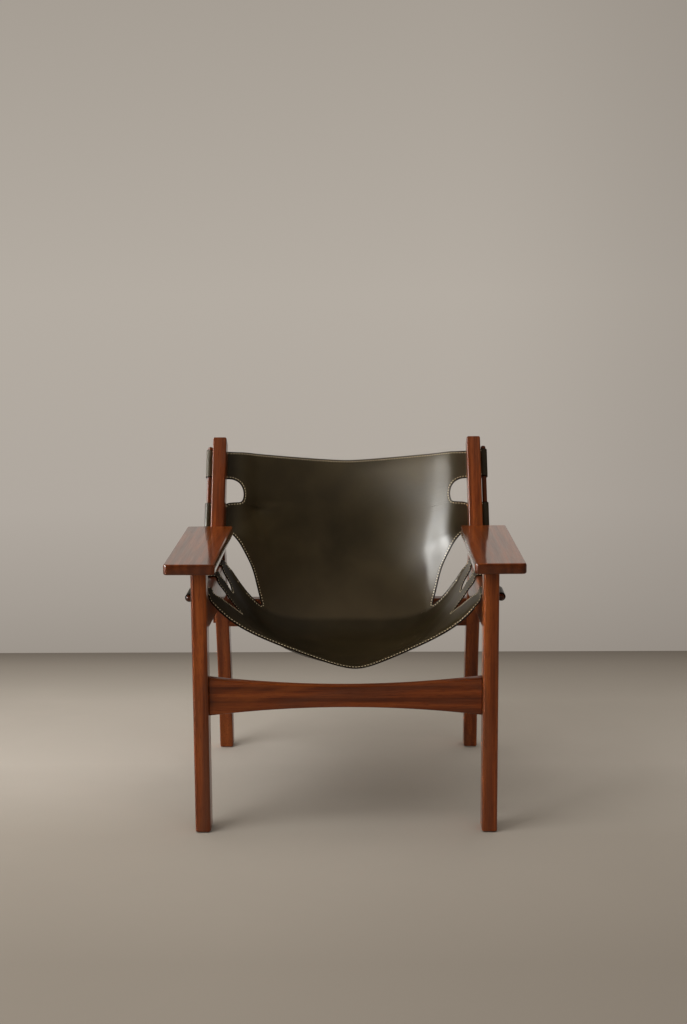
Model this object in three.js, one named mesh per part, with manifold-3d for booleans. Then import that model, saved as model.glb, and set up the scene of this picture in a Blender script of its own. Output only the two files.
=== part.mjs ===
// Low lounge chair: a dark hardwood frame with flat arms carries one leather sling.
// The sling's loops pass over the side rails and behind the back posts, and each pair or trio of loops holds a
// round rod that keeps them from pulling through. All sizes are in millimetres: +X is the viewer's right,
// +Y runs from front to back, +Z is up.

import * as THREE from "three";
import { mergeVertices } from "three/addons/utils/BufferGeometryUtils.js";
import Module from "manifold-3d";

const wasm = await Module();
wasm.setup();

// Space left between two pieces that touch, and the distance under which two corners are one
const fitGap = 0.3;
const mergeDistance = 0.001;

// How finely the round bars, the turned pieces and the curved faces of the posts are divided
const barSides = 12;
const turnedSides = 20;
const curveSteps = 12;

// Frame lumber: the legs and posts of each side stand in one plane
const lumber = 30.5;
const frameOuterX = 300.5;
const frameInnerX = frameOuterX - lumber;
const frameCentreX = frameOuterX - lumber / 2;
const edgeRound = 3.5;
const endRound = 2.5;

// Front legs
const legDepth = 50;

// Arms
const armWidth = 100;
const armThickness = 21;
const armTop = 548;
const armFrontOverhang = 20;
const armInnerOverhang = 19;
const armCornerRadius = 5;
const armEdgeRound = 3.5;
const armUnderside = armTop - armThickness;

// Back posts, each one bent piece from the floor to the top of the back
const recline = THREE.MathUtils.degToRad(29);
const kneeY = 411;
const kneeBelowArm = 29;
const kneeHeight = armTop - kneeBelowArm;
const backRise = 215;
const postTop = kneeHeight + backRise;
const postDepth = 42;
const elbowBelowKnee = 4.5;
const elbowHeight = kneeHeight - elbowBelowKnee;
const footFrontY = 562;
const footDepth = 36;

// Below the arm each face of the post is one curve, with a lean and a handle's length at each end
const shinLean = THREE.MathUtils.degToRad(27);
const shinHandle = 220;
const shinFootLean = THREE.MathUtils.degToRad(4);
const shinFootHandle = 200;
const calfLean = THREE.MathUtils.degToRad(30);
const calfHandle = 190;
const calfFootLean = THREE.MathUtils.degToRad(1.7);
const calfFootHandle = 182;

// Side rails
const railThickness = 28.5;
const railBelowArm = 76;
const railTop = armTop - railBelowArm;
const railFrontDepth = 68;
const railRearDepth = 88;
const railEdge = 5;
const railOuterX = frameCentreX + railThickness / 2;
const railInnerX = railOuterX - railThickness;

// Stretchers
const frontStretcherThickness = 22;
const frontStretcherFaceY = 13;
const frontStretcherBelowRail = 158.5;
const frontStretcherTop = railTop - frontStretcherBelowRail;
const frontStretcherDepth = 76;
const frontStretcherHollow = 16.5;
const rearStretcherThickness = 28;
const rearStretcherInset = 10.9;
const rearStretcherBelowRail = 105;
const rearStretcherTop = railTop - rearStretcherBelowRail;
const rearStretcherDepth = 64;
const stretcherEdge = 2.5;

// Joints
const tenonThickness = 11;
const tenonLength = 22;
const tenonShoulder = 14;
const throughTenonShoulder = 7;
const throughTenonProud = 6;
const pegRadius = 3.5;
const pegEnd = 8;
const dowelRadius = 4;
const dowelSpacing = 24;
const dowelInLeg = 20;
const dowelInArm = 13;
const rearDowelRadius = 5;
const rearDowelInArm = 30;
const rearDowelInPost = 26;

// Glides under the feet
const glideRadius = 10;
const glideThickness = 1.5;
const glidePinRadius = 1.6;
const glidePinLength = 14;

// Rods and the leather loops round them
const rodRadius = 5.5;
const rodDome = 1.8;
const rodProud = 8;
const leather = 2.6;
const loopInner = rodRadius + fitGap;
const loopOuter = loopInner + leather;
const loopMiddle = (loopInner + loopOuter) / 2;
const rodX = frameOuterX + fitGap + loopOuter;
const leatherSeat = fitGap + leather / 2;

// Ends of the seat's loops along Y, and of the back's loops as shares of the way from the knee to the post's top
const frontLoopStart = 58;
const frontLoopEnd = 122;
const middleLoopStart = 236;
const middleLoopEnd = 290;
const rearLoopStart = 362;
const rearLoopEnd = 424;
const lowerLoopShares = [0.042, 0.312];
const upperLoopShares = [0.563, 0.833];
const backHeight = (share) => kneeHeight + share * backRise;
const [lowerLoopStart, lowerLoopEnd] = lowerLoopShares.map(backHeight);
const [upperLoopStart, upperLoopEnd] = upperLoopShares.map(backHeight);

// How far the leather hangs at the middle: under the rails on the seat, behind the posts on the back
const frontEdgeSag = 146;
const frontEdgeLead = 14;
const lowPointX = 16;
const frontSag = 163;
const middleSag = 176;
const deepestSag = 178;
const rearSag = 175;
const rearEdgeSag = 163;
const rearLead = 10;
const bendCornerY = 480;
const bendCornerBelowRail = 142;
const bendCornerZ = railTop - bendCornerBelowRail;
const waistBelly = 93.5;
const lowerBelly = 91;
const upperBelly = 87;
const topBelly = 80;
const waistDrop = 18;
const topLift = 9;

/** A closed geometry as a solid that can be joined and cut. */
function solid(geometry) {
  const bare = geometry.clone();
  bare.deleteAttribute("normal");
  bare.deleteAttribute("uv");
  const merged = mergeVertices(bare, mergeDistance);
  const triVerts = new Uint32Array(merged.index.array);
  const vertProperties = merged.attributes.position.array;
  return new wasm.Manifold(new wasm.Mesh({ numProp: 3, vertProperties, triVerts }));
}

/** A solid back as a geometry with flat faces. */
function geometryOf(made) {
  const mesh = made.getMesh();
  const indexed = new THREE.BufferGeometry();
  indexed.setAttribute("position", new THREE.BufferAttribute(new Float32Array(mesh.vertProperties), 3));
  indexed.setIndex(new THREE.BufferAttribute(new Uint32Array(mesh.triVerts), 1));
  const flat = indexed.toNonIndexed();
  flat.computeVertexNormals();
  return flat;
}

function cut(body, ...cutters) {
  return geometryOf(cutters.reduce((left, cutter) => left.subtract(solid(cutter)), solid(body)));
}

function join(body, ...more) {
  return geometryOf(more.reduce((whole, next) => whole.add(solid(next)), solid(body)));
}

/** The same piece on the other side of the chair. */
function mirrored(geometry) {
  const flat = geometry.index ? geometry.toNonIndexed() : geometry.clone();
  const old = geometry.index ? flat.clone().attributes.position : geometry.attributes.position;
  const position = flat.attributes.position;
  for (let i = 0; i < position.count; i++) {
    // Two corners of each triangle change places, so that its face still points out.
    const corner = i % 3;
    const from = corner === 0 ? i : i + (corner === 1 ? 1 : -1);
    position.setXYZ(i, -old.getX(from), old.getY(from), old.getZ(from));
  }
  flat.computeVertexNormals();
  return flat;
}

/** A box between two corners, grown by a margin on every side. */
function block(low, high, margin) {
  const size = high.map((value, i) => value - low[i] + 2 * margin);
  const middle = high.map((value, i) => (value + low[i]) / 2);
  return new THREE.BoxGeometry(...size).translate(...middle);
}

// Turns a shape so that its x, its y and its depth run along Y, Z and X.
const facingX = new THREE.Matrix4().set(0, 0, 1, 0, 1, 0, 0, 0, 0, 1, 0, 0, 0, 0, 0, 1);

/** An outline in the YZ plane as a board from x = low to x = high, with rounded edges. */
function sideBoard(outline, low, high, round = 0) {
  const shape = new THREE.Shape(outline.map(([y, z]) => new THREE.Vector2(y, z)));
  const board = new THREE.ExtrudeGeometry(shape, {
    depth: high - low - 2 * round,
    bevelEnabled: round > 0,
    bevelThickness: round,
    bevelSize: round,
    bevelOffset: -round,
    bevelSegments: 3,
  });
  return board.applyMatrix4(facingX).translate(low + round, 0, 0);
}

/** A rectangle with rounded corners, centred on the origin. */
function roundedRectangle(width, height, radius) {
  const quarter = Math.PI / 2;
  const x = width / 2 - radius;
  const y = height / 2 - radius;
  const shape = new THREE.Shape();
  shape.absarc(x, -y, radius, -quarter, 0);
  shape.absarc(x, y, radius, 0, quarter);
  shape.absarc(-x, y, radius, quarter, 2 * quarter);
  shape.absarc(-x, -y, radius, 2 * quarter, 3 * quarter);
  return shape;
}

/** A board lying or standing along Z, with rounded corners and rounded ends. */
function roundedBoard(width, depth, length, corner, round) {
  const shape = roundedRectangle(width - 2 * round, depth - 2 * round, corner);
  return new THREE.ExtrudeGeometry(shape, {
    depth: length - 2 * round,
    bevelThickness: round,
    bevelSize: round,
    bevelSegments: 2,
    curveSegments: 3,
  }).translate(0, 0, round);
}

/** A round bar along X, Y or Z, between two places on that axis and at two places across it. */
function roundBar(axis, radius, from, to, [first, second]) {
  const bar = new THREE.CylinderGeometry(radius, radius, to - from, barSides);
  const middle = (from + to) / 2;
  if (axis === "x") return bar.rotateZ(-Math.PI / 2).translate(middle, first, second);
  if (axis === "y") return bar.translate(first, middle, second);
  return bar.rotateX(Math.PI / 2).translate(first, second, middle);
}

/** A turned solid about Z, from its profile of radius and height. */
function turned(profile) {
  const points = profile.map(([radius, height]) => new THREE.Vector2(radius, height));
  return new THREE.LatheGeometry(points, turnedSides).rotateX(Math.PI / 2);
}

// The reclined stretch of the post: the direction square to it, and the line of its rear face
const behind = [Math.cos(recline), -Math.sin(recline)];
const knee = [kneeY, kneeHeight];
const rearLine = [kneeY + postDepth * behind[0], kneeHeight + postDepth * behind[1]];

/** Y of a line that has the post's slope and runs through a point, at a height. */
function reclinedY([y, z], height) {
  return y + (height - z) * Math.tan(recline);
}

/** A place behind the reclined stretch: at a height on its rear face, then square to that face. */
function behindPost(x, height, offset) {
  const y = reclinedY(rearLine, height) + offset * behind[0];
  return new THREE.Vector3(x, y, height + offset * behind[1]);
}

/** A curve from a start down to the foot. Each end is [y, z, lean, length of its handle]. */
function faceCurve([y, z, lean, handle], [footY, footZ, footLean, footHandle]) {
  return new THREE.CubicBezierCurve(
    new THREE.Vector2(y, z),
    new THREE.Vector2(y + handle * Math.sin(lean), z - handle * Math.cos(lean)),
    new THREE.Vector2(footY - footHandle * Math.sin(footLean), footZ + footHandle * Math.cos(footLean)),
    new THREE.Vector2(footY, footZ),
  );
}

const elbowY = reclinedY(rearLine, elbowHeight);
const heelY = footFrontY + footDepth;
const shin = faceCurve(
  [kneeY, kneeHeight, shinLean, shinHandle],
  [footFrontY, glideThickness, shinFootLean, shinFootHandle],
);
const calf = faceCurve(
  [elbowY, elbowHeight, calfLean, calfHandle],
  [heelY, glideThickness, calfFootLean, calfFootHandle],
);
const footCentreY = footFrontY + footDepth / 2;

/** Y of a face below the arm, at a height. */
function faceY(curve, height) {
  let low = 0;
  let high = 1;
  for (let i = 0; i < 40; i++) {
    const middle = (low + high) / 2;
    if (curve.getPoint(middle).y > height) low = middle;
    else high = middle;
  }
  return curve.getPoint(low).x;
}

function backPost() {
  const top = [reclinedY(knee, postTop), postTop];
  const outline = [
    ...shin.getPoints(curveSteps).map((p) => [p.x, p.y]),
    ...calf.getPoints(curveSteps).reverse().map((p) => [p.x, p.y]),
    [top[0] + postDepth * behind[0], top[1] + postDepth * behind[1]],
    top,
  ];
  return cut(
    sideBoard(outline, frameInnerX, frameOuterX, edgeRound),
    railRearTenon(fitGap),
    rearStretcherTenon(fitGap),
    railRearPeg(fitGap),
    rearStretcherPeg(fitGap),
    rearDowel(fitGap),
    glide(footCentreY, fitGap),
  );
}

function frontLeg() {
  const length = armUnderside - fitGap - glideThickness;
  const board = roundedBoard(lumber, legDepth, length, edgeRound, endRound);
  return cut(
    board.translate(frameCentreX, legDepth / 2, glideThickness),
    railFrontTenon(fitGap),
    railFrontPeg(fitGap),
    frontStretcherTenon(fitGap),
    frontStretcherPeg(fitGap),
    ...armDowels(fitGap),
    glide(legDepth / 2, fitGap),
  );
}

function arm() {
  const centreX = frameInnerX - armInnerOverhang + armWidth / 2;
  const rearTop = reclinedY(knee, armTop) - fitGap / Math.cos(recline);
  const length = rearTop + postDepth + armFrontOverhang;
  const board = roundedBoard(armWidth, length, armThickness, armCornerRadius, armEdgeRound);
  board.translate(centreX, length / 2 - armFrontOverhang, armUnderside);
  // The rear end is cut to the slope of the post and lies flat against its front face.
  const beyond = new THREE.BoxGeometry(2 * armWidth, 2 * length, 2 * length);
  beyond.translate(0, length, 0).rotateX(-recline).translate(centreX, rearTop, armTop);
  return cut(board, beyond, ...armDowels(fitGap), rearDowel(fitGap));
}

/** Two dowels stand in the top of each front leg and hold the arm. */
function armDowels(margin = 0) {
  const low = armUnderside - dowelInLeg - margin;
  const high = armUnderside + dowelInArm + margin;
  const places = [(legDepth - dowelSpacing) / 2, (legDepth + dowelSpacing) / 2];
  return places.map((y) => roundBar("z", dowelRadius + margin, low, high, [frameCentreX, y]));
}

/** One dowel joins the rear end of the arm to the post. */
function rearDowel(margin = 0) {
  const height = armTop - armThickness / 2;
  const face = reclinedY(knee, height);
  const low = face - rearDowelInArm - margin;
  const high = face + rearDowelInPost + margin;
  return roundBar("y", rearDowelRadius + margin, low, high, [frameCentreX, height]);
}

function railBottom(y) {
  const share = (y - legDepth) / (kneeY - legDepth);
  return railTop - railFrontDepth - share * (railRearDepth - railFrontDepth);
}

const railRearBottom = railBottom(kneeY);

/** Points down the post's front face between two heights, moved back by an offset. */
function alongShin(low, high, offset) {
  const steps = 5;
  const heights = Array.from({ length: steps + 1 }, (_, i) => low + ((high - low) * i) / steps);
  return heights.map((z) => [faceY(shin, z) + offset, z]);
}

function railRearTenon(margin = 0) {
  const low = railRearBottom + tenonShoulder - margin;
  const high = railTop - tenonShoulder + margin;
  const inRail = alongShin(low, high, -tenonShoulder).reverse();
  const inPost = alongShin(low, high, tenonLength + margin);
  const half = tenonThickness / 2 + margin;
  return sideBoard([...inRail, ...inPost], frameCentreX - half, frameCentreX + half);
}

function railFrontTenon(margin = 0) {
  const low = [frameCentreX - tenonThickness / 2, legDepth - tenonLength, railBottom(legDepth) + tenonShoulder];
  const high = [frameCentreX + tenonThickness / 2, legDepth + tenonShoulder, railTop - tenonShoulder];
  return block(low, high, margin);
}

function sideRail() {
  const front = legDepth + fitGap;
  const rearEnd = alongShin(railRearBottom, railTop, -fitGap);
  const outline = [[front, railTop], [front, railBottom(front)], ...rearEnd];
  const board = sideBoard(outline, railInnerX, railOuterX, railEdge);
  return cut(join(board, railFrontTenon(), railRearTenon()), railFrontPeg(fitGap), railRearPeg(fitGap));
}

/** The rail's pegs come in from the inner face and stop short of the outer one. */
function innerPeg(y, z, margin) {
  return roundBar("x", pegRadius + margin, frameInnerX - margin, frameOuterX - pegEnd + margin, [y, z]);
}

function railFrontPeg(margin = 0) {
  return innerPeg(legDepth - tenonLength / 2, (railBottom(legDepth) + railTop) / 2, margin);
}

function railRearPeg(margin = 0) {
  const height = (railRearBottom + railTop) / 2;
  return innerPeg(faceY(shin, height) + tenonLength / 2, height, margin);
}

const frontStretcherBackY = frontStretcherFaceY + frontStretcherThickness;
const frontStretcherCentreY = (frontStretcherFaceY + frontStretcherBackY) / 2;
const frontStretcherBottom = frontStretcherTop - frontStretcherDepth;

function frontStretcherTenon(margin = 0) {
  const low = [
    frameInnerX - tenonShoulder,
    frontStretcherCentreY - tenonThickness / 2,
    frontStretcherBottom + tenonShoulder,
  ];
  const high = [
    frameInnerX + tenonLength,
    frontStretcherCentreY + tenonThickness / 2,
    frontStretcherTop - tenonShoulder,
  ];
  return block(low, high, margin);
}

/** The front stretcher's pegs come in from the back of the legs. */
function frontStretcherPeg(margin = 0) {
  const x = frameInnerX + tenonLength / 2;
  const z = frontStretcherTop - frontStretcherDepth / 2;
  return roundBar("y", pegRadius + margin, pegEnd - margin, legDepth + margin, [x, z]);
}

function frontStretcher() {
  const end = frameInnerX - fitGap;
  const steps = 20;
  const places = Array.from({ length: steps + 1 }, (_, i) => end * ((2 * i) / steps - 1));
  const hollow = (x) => frontStretcherHollow * (1 - (x / end) ** 2);
  const top = places.map((x) => new THREE.Vector2(x, frontStretcherTop - hollow(x)));
  const bottom = places.map((x) => new THREE.Vector2(x, frontStretcherBottom + hollow(x)));
  const board = new THREE.ExtrudeGeometry(new THREE.Shape([...bottom, ...top.reverse()]), {
    depth: frontStretcherThickness - 2 * stretcherEdge,
    bevelThickness: stretcherEdge,
    bevelSize: stretcherEdge,
    bevelOffset: -stretcherEdge,
    bevelSegments: 2,
  });
  board.rotateX(Math.PI / 2).translate(0, frontStretcherBackY - stretcherEdge, 0);
  const tenon = frontStretcherTenon();
  const peg = frontStretcherPeg(fitGap);
  return cut(join(board, tenon, mirrored(tenon)), peg, mirrored(peg));
}

const rearStretcherBottom = rearStretcherTop - rearStretcherDepth;
const rearStretcherMiddleZ = (rearStretcherTop + rearStretcherBottom) / 2;
const rearStretcherCentreY = faceY(shin, rearStretcherMiddleZ) + rearStretcherInset + rearStretcherThickness / 2;

/** The rear stretcher's tenons go right through the posts and stand out on the outside. */
function rearStretcherTenon(margin = 0) {
  const low = [
    frameInnerX - tenonShoulder,
    rearStretcherCentreY - tenonThickness / 2,
    rearStretcherBottom + throughTenonShoulder,
  ];
  const high = [
    frameOuterX + throughTenonProud,
    rearStretcherCentreY + tenonThickness / 2,
    rearStretcherTop - throughTenonShoulder,
  ];
  return block(low, high, margin);
}

/** The rear stretcher's pegs come in from the back of the posts. */
function rearStretcherPeg(margin = 0) {
  const low = faceY(shin, rearStretcherMiddleZ) + pegEnd - margin;
  const high = faceY(calf, rearStretcherMiddleZ) + margin;
  return roundBar("y", pegRadius + margin, low, high, [frameCentreX, rearStretcherMiddleZ]);
}

function rearStretcher() {
  const end = frameInnerX - fitGap;
  const shape = roundedRectangle(rearStretcherThickness, rearStretcherDepth, stretcherEdge);
  const board = new THREE.ExtrudeGeometry(shape, { depth: 2 * end, bevelEnabled: false, curveSegments: 3 });
  board.applyMatrix4(facingX).translate(-end, rearStretcherCentreY, rearStretcherMiddleZ);
  const tenon = rearStretcherTenon();
  const peg = rearStretcherPeg(fitGap);
  return cut(join(board, tenon, mirrored(tenon)), peg, mirrored(peg));
}

/** A thin disc under a foot, with the pin that holds it in the wood. */
function glide(y, margin = 0) {
  const top = glideThickness - fitGap;
  const profile = [
    [0, 0],
    [glideRadius, 0],
    [glideRadius, top],
    [glidePinRadius + margin, top],
    [glidePinRadius + margin, glidePinLength + margin],
    [0, glidePinLength + margin],
  ];
  return turned(profile).translate(frameCentreX, y, 0);
}

/** A round rod with domed ends, from one place to another. */
function rod(start, end) {
  const length = start.distanceTo(end);
  const profile = [
    [0, 0],
    [rodRadius - rodDome, 0],
    [rodRadius, rodDome],
    [rodRadius, length - rodDome],
    [rodRadius - rodDome, length],
    [0, length],
  ];
  const direction = end.clone().sub(start).normalize();
  const turn = new THREE.Quaternion().setFromUnitVectors(new THREE.Vector3(0, 0, 1), direction);
  return turned(profile).applyQuaternion(turn).translate(start.x, start.y, start.z);
}

const seatRodZ = railTop + leatherSeat - loopMiddle;
const backRodOffset = leatherSeat - loopMiddle;

function seatRod() {
  const start = new THREE.Vector3(rodX, frontLoopStart - rodProud, seatRodZ);
  return rod(start, new THREE.Vector3(rodX, rearLoopEnd + rodProud, seatRodZ));
}

function backRod() {
  const rise = rodProud * Math.cos(recline);
  const start = behindPost(rodX, lowerLoopStart - rise, backRodOffset);
  return rod(start, behindPost(rodX, upperLoopEnd + rise, backRodOffset));
}

// Rows of the sling, from its front edge to its top edge. Each has the middle of the leather near the chair's centre
// line, its place at the side, and how late it climbs to that place: 1 climbs evenly, 4 stays low and then steepens.
const railTurnZ = railTop - railEdge;
const seatCornerX = railInnerX - leatherSeat;
const backCornerX = frameInnerX + leatherSeat;

function seatRow(y, lead, sag, climb) {
  return { middle: [y - lead, railTop - sag], side: [seatCornerX, y, railTurnZ], climb };
}

function backRow(height, lift, belly, climb) {
  const middle = behindPost(0, height + lift, belly);
  const side = behindPost(backCornerX, height, leatherSeat);
  return { middle: [middle.y, middle.z], side: side.toArray(), climb, height };
}

/** The rows where the leather turns from the seat to the back, between the last seat row and the first back row. */
function bendRows(seat, back) {
  const mix = (a, b, share) => a + (b - a) * share;
  const corner = [bendCornerY, bendCornerZ];
  return [1, 2, 3].map((i) => {
    const share = i / 4;
    const middle = corner.map((value, axis) =>
      mix(mix(seat.middle[axis], value, share), mix(value, back.middle[axis], share), share),
    );
    const side = seat.side.map((value, axis) => mix(value, back.side[axis], share));
    return { middle, side, climb: mix(seat.climb, back.climb, share) };
  });
}

const seatRows = [
  seatRow(frontLoopStart, frontEdgeLead, frontEdgeSag, 1),
  seatRow(frontLoopEnd, 0, frontSag, 2),
  seatRow(middleLoopStart, 0, middleSag, 2.8),
  seatRow(middleLoopEnd, 0, deepestSag, 3.2),
  seatRow(rearLoopStart, rearLead / 2, rearSag, 3.7),
  seatRow(rearLoopEnd, rearLead, rearEdgeSag, 4),
];
const backRows = [
  backRow(lowerLoopStart, -waistDrop, waistBelly, 2.3),
  backRow(lowerLoopEnd, 0, lowerBelly, 2),
  backRow(upperLoopStart, topLift, upperBelly, 2),
  backRow(upperLoopEnd, topLift, topBelly, 2),
];
const slingRows = [...seatRows, ...bendRows(seatRows.at(-1), backRows[0]), ...backRows];

// The stretches of the sling, in order: the loops, and the openings between them, where the leather is cut back by a
// share of its half width. An opening has a tight corner at its start and falls off along a longer curve to its end.
const handHole = { cornerShare: 0.3, fall: 3, round: 0.45 };
const slingStretches = [
  { rows: 1, steps: 2, cutShare: 0 },
  { rows: 1, steps: 5, cutShare: 0.17, ...handHole },
  { rows: 1, steps: 1, cutShare: 0 },
  { rows: 1, steps: 5, cutShare: 0.085, ...handHole },
  { rows: 1, steps: 1, cutShare: 0 },
  { rows: 4, steps: 7, cutShare: 0.29, cornerShare: 0.08, fall: 1.3, round: 0.8 },
  { rows: 1, steps: 1, cutShare: 0 },
  { rows: 1, steps: 5, cutShare: 0.15, cornerShare: 0.06, fall: 2.2, round: 0.6 },
  { rows: 1, steps: 1, cutShare: 0 },
];
const seatLoopRows = [[0, 1], [2, 3], [4, 5]];
const backLoopRows = [[9, 10], [11, 12]];

/** A smooth value at a place between the rows, through each row's own value. */
function rowValue(pick, place) {
  const values = slingRows.map(pick);
  const i = Math.min(Math.floor(place), values.length - 2);
  const t = place - i;
  const [start, end] = [values[i], values[i + 1]];
  const slopeIn = (end - values[Math.max(i - 1, 0)]) / 2;
  const slopeOut = (values[Math.min(i + 2, values.length - 1)] - start) / 2;
  const bend = t * (1 - t);
  const eased = t * t * (3 - 2 * t);
  return start + (end - start) * eased + bend * ((1 - t) * slopeIn - t * slopeOut);
}

/** The front edge hangs like a V with a rounded point, and turns up close to the rail. */
function frontClimb(share) {
  const pointShare = 0.1;
  const evenShare = 0.8;
  const turnUpShare = 0.28;
  const turnUpPower = 7;
  const rise = (s) => evenShare * (Math.hypot(s, pointShare) - pointShare) + turnUpShare * s ** turnUpPower;
  return rise(share) / rise(1);
}

// How many rows it takes for the front edge's V to fade into the round of the seat
const frontFadeRows = 2.2;

/** The middle of the leather, across from one side (-1) to the other (1) and along the rows. */
function slingPoint(across, place) {
  const sideX = rowValue((row) => row.side[0], place);
  const x = across * sideX;
  const frontShare = Math.max(0, 1 - place / frontFadeRows);
  const lowX = lowPointX * frontShare;
  const share = x > lowX ? (x - lowX) / (sideX - lowX) : (lowX - x) / (sideX + lowX);
  const climb = frontShare * frontClimb(share) + (1 - frontShare) * share ** rowValue((row) => row.climb, place);
  const middleY = rowValue((row) => row.middle[0], place);
  const middleZ = rowValue((row) => row.middle[1], place);
  const y = middleY + (rowValue((row) => row.side[1], place) - middleY) * share * share;
  const z = middleZ + (rowValue((row) => row.side[2], place) - middleZ) * climb;
  return new THREE.Vector3(x, y, z);
}

/** A sheet of the leather's thickness round a grid of points, as one closed surface. */
function thickSheet(grid) {
  const lastRow = grid.length - 1;
  const lastColumn = grid[0].length - 1;
  const layer = (side) =>
    grid.map((line, i) =>
      line.map((point, j) => {
        const across = line[Math.min(j + 1, lastColumn)].clone().sub(line[Math.max(j - 1, 0)]);
        const along = grid[Math.min(i + 1, lastRow)][j].clone().sub(grid[Math.max(i - 1, 0)][j]);
        return point.clone().addScaledVector(across.cross(along).normalize(), (side * leather) / 2);
      }),
    );
  const top = layer(1);
  const bottom = layer(-1);
  const corners = [];
  const quad = (a, b, c, d) => corners.push(a, b, c, a, c, d);
  for (let i = 0; i < lastRow; i++) {
    for (let j = 0; j < lastColumn; j++) {
      quad(top[i][j], top[i][j + 1], top[i + 1][j + 1], top[i + 1][j]);
      quad(bottom[i][j], bottom[i + 1][j], bottom[i + 1][j + 1], bottom[i][j + 1]);
    }
    quad(top[i][0], top[i + 1][0], bottom[i + 1][0], bottom[i][0]);
    quad(bottom[i][lastColumn], bottom[i + 1][lastColumn], top[i + 1][lastColumn], top[i][lastColumn]);
  }
  for (let j = 0; j < lastColumn; j++) {
    quad(bottom[0][j], bottom[0][j + 1], top[0][j + 1], top[0][j]);
    quad(top[lastRow][j], top[lastRow][j + 1], bottom[lastRow][j + 1], bottom[lastRow][j]);
  }
  return new THREE.BufferGeometry().setFromPoints(corners);
}

/** The share of the half width that is cut away at a place in a stretch. */
function cutBack(t, { cutShare, cornerShare, fall, round }) {
  if (cutShare === 0) return 0;
  return cutShare * Math.sqrt(Math.min(1, t / cornerShare)) * (1 - t ** fall) ** round;
}

function slingPanel() {
  const halfColumnShares = [0.09, 0.35, 0.62, 0.84, 1];
  const columns = [...halfColumnShares.map((share) => -share).reverse(), ...halfColumnShares];
  const grid = [columns.map((column) => slingPoint(column, 0))];
  let start = 0;
  for (const stretch of slingStretches) {
    for (let i = 1; i <= stretch.steps; i++) {
      // An opening's steps are closer together at its ends, where its outline turns.
      const even = i / stretch.steps;
      const t = stretch.cutShare > 0 ? (1 - Math.cos(Math.PI * even)) / 2 : even;
      const half = 1 - cutBack(t, stretch);
      grid.push(columns.map((column) => slingPoint(column * half, start + stretch.rows * t)));
    }
    start += stretch.rows;
  }
  return thickSheet(grid);
}

/**
 * The cross-section of a loop, seen along the rod: a strap on the wood's face at a height, and the ring that it
 * makes round the rod. The strap's own start is given as points on its outer side and on its wood side.
 */
function loopSection(face, outerStart, woodStart) {
  const centre = new THREE.Vector2(rodX, face + leatherSeat - loopMiddle);
  const around = (radius, angle) =>
    new THREE.Vector2(radius * Math.cos(angle), radius * Math.sin(angle)).add(centre);
  // Round the outside, from the top of the ring to where it meets the underside of the strap
  const ringSteps = 9;
  const meeting = Math.asin((face + fitGap - centre.y) / loopOuter);
  const swept = 3 * (Math.PI / 2) + meeting;
  const outside = Array.from({ length: ringSteps + 1 }, (_, i) =>
    around(loopOuter, Math.PI / 2 - (swept * i) / ringSteps),
  );
  const shape = new THREE.Shape([...outerStart, ...outside, ...woodStart]);
  const holeSides = 8;
  const holeRadius = loopInner / Math.cos(Math.PI / holeSides);
  const hole = Array.from({ length: holeSides }, (_, i) => around(holeRadius, (2 * Math.PI * i) / holeSides));
  shape.holes.push(new THREE.Path(hole));
  return shape;
}

/** The section carried along a line from a start, with its own x and y along two axes. */
function carried(shape, start, xAxis, yAxis, length) {
  const run = new THREE.ExtrudeGeometry(shape, { depth: length, bevelEnabled: false });
  const axes = new THREE.Matrix4().makeBasis(xAxis, yAxis, xAxis.clone().cross(yAxis));
  return run.applyMatrix4(axes.setPosition(start));
}

const right = new THREE.Vector3(1, 0, 0);
const up = new THREE.Vector3(0, 0, 1);
const backward = new THREE.Vector3(0, ...behind);

/** The leather runs on from the seat over the edge of the rail to its ring. */
function seatLoop([firstRow, lastRow]) {
  const startZ = railTurnZ - leather / 2;
  const quarterSteps = 3;
  const overEdge = (radius) =>
    Array.from({ length: quarterSteps + 1 }, (_, i) => {
      const angle = Math.PI - (i * Math.PI) / 2 / quarterSteps;
      return new THREE.Vector2(
        railInnerX + railEdge + radius * Math.cos(angle),
        railTurnZ + radius * Math.sin(angle),
      );
    });
  const outer = overEdge(railEdge + fitGap + leather);
  const wood = overEdge((railEdge + fitGap) / Math.cos(Math.PI / 4 / quarterSteps)).reverse();
  const outerStart = [new THREE.Vector2(seatCornerX - leather / 2, startZ), ...outer];
  const woodStart = [...wood, new THREE.Vector2(seatCornerX + leather / 2, startZ)];
  const from = slingPoint(1, firstRow).y;
  const to = slingPoint(1, lastRow).y;
  const section = loopSection(railTop, outerStart, woodStart);
  return carried(section, new THREE.Vector3(0, to, 0), right, up, to - from);
}

/** The leather runs on from the back round the post's rear face to its ring. */
function backLoop([firstRow, lastRow]) {
  const startX = backCornerX - leather;
  const section = loopSection(
    0,
    [new THREE.Vector2(startX, fitGap + leather)],
    [new THREE.Vector2(startX, fitGap)],
  );
  const start = behindPost(0, slingRows[firstRow].height, 0);
  const end = behindPost(0, slingRows[lastRow].height, 0);
  return carried(section, start, right, backward, start.distanceTo(end));
}

function sling() {
  const loops = [...seatLoopRows.map(seatLoop), ...backLoopRows.map(backLoop)];
  return join(slingPanel(), ...loops, ...loops.map(mirrored));
}

const chair = new THREE.Group();

const looks = {
  wood: { color: 0x6b3216, roughness: 0.32 },
  peg: { color: 0x4e2410, roughness: 0.45 },
  hide: { color: 0x2c2519, roughness: 0.38 },
  nylon: { color: 0x15130f, roughness: 0.6 },
};

function add(name, geometry, look) {
  const mesh = new THREE.Mesh(geometry, new THREE.MeshStandardMaterial({ metalness: 0, ...looks[look] }));
  mesh.name = name;
  chair.add(mesh);
}

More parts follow.
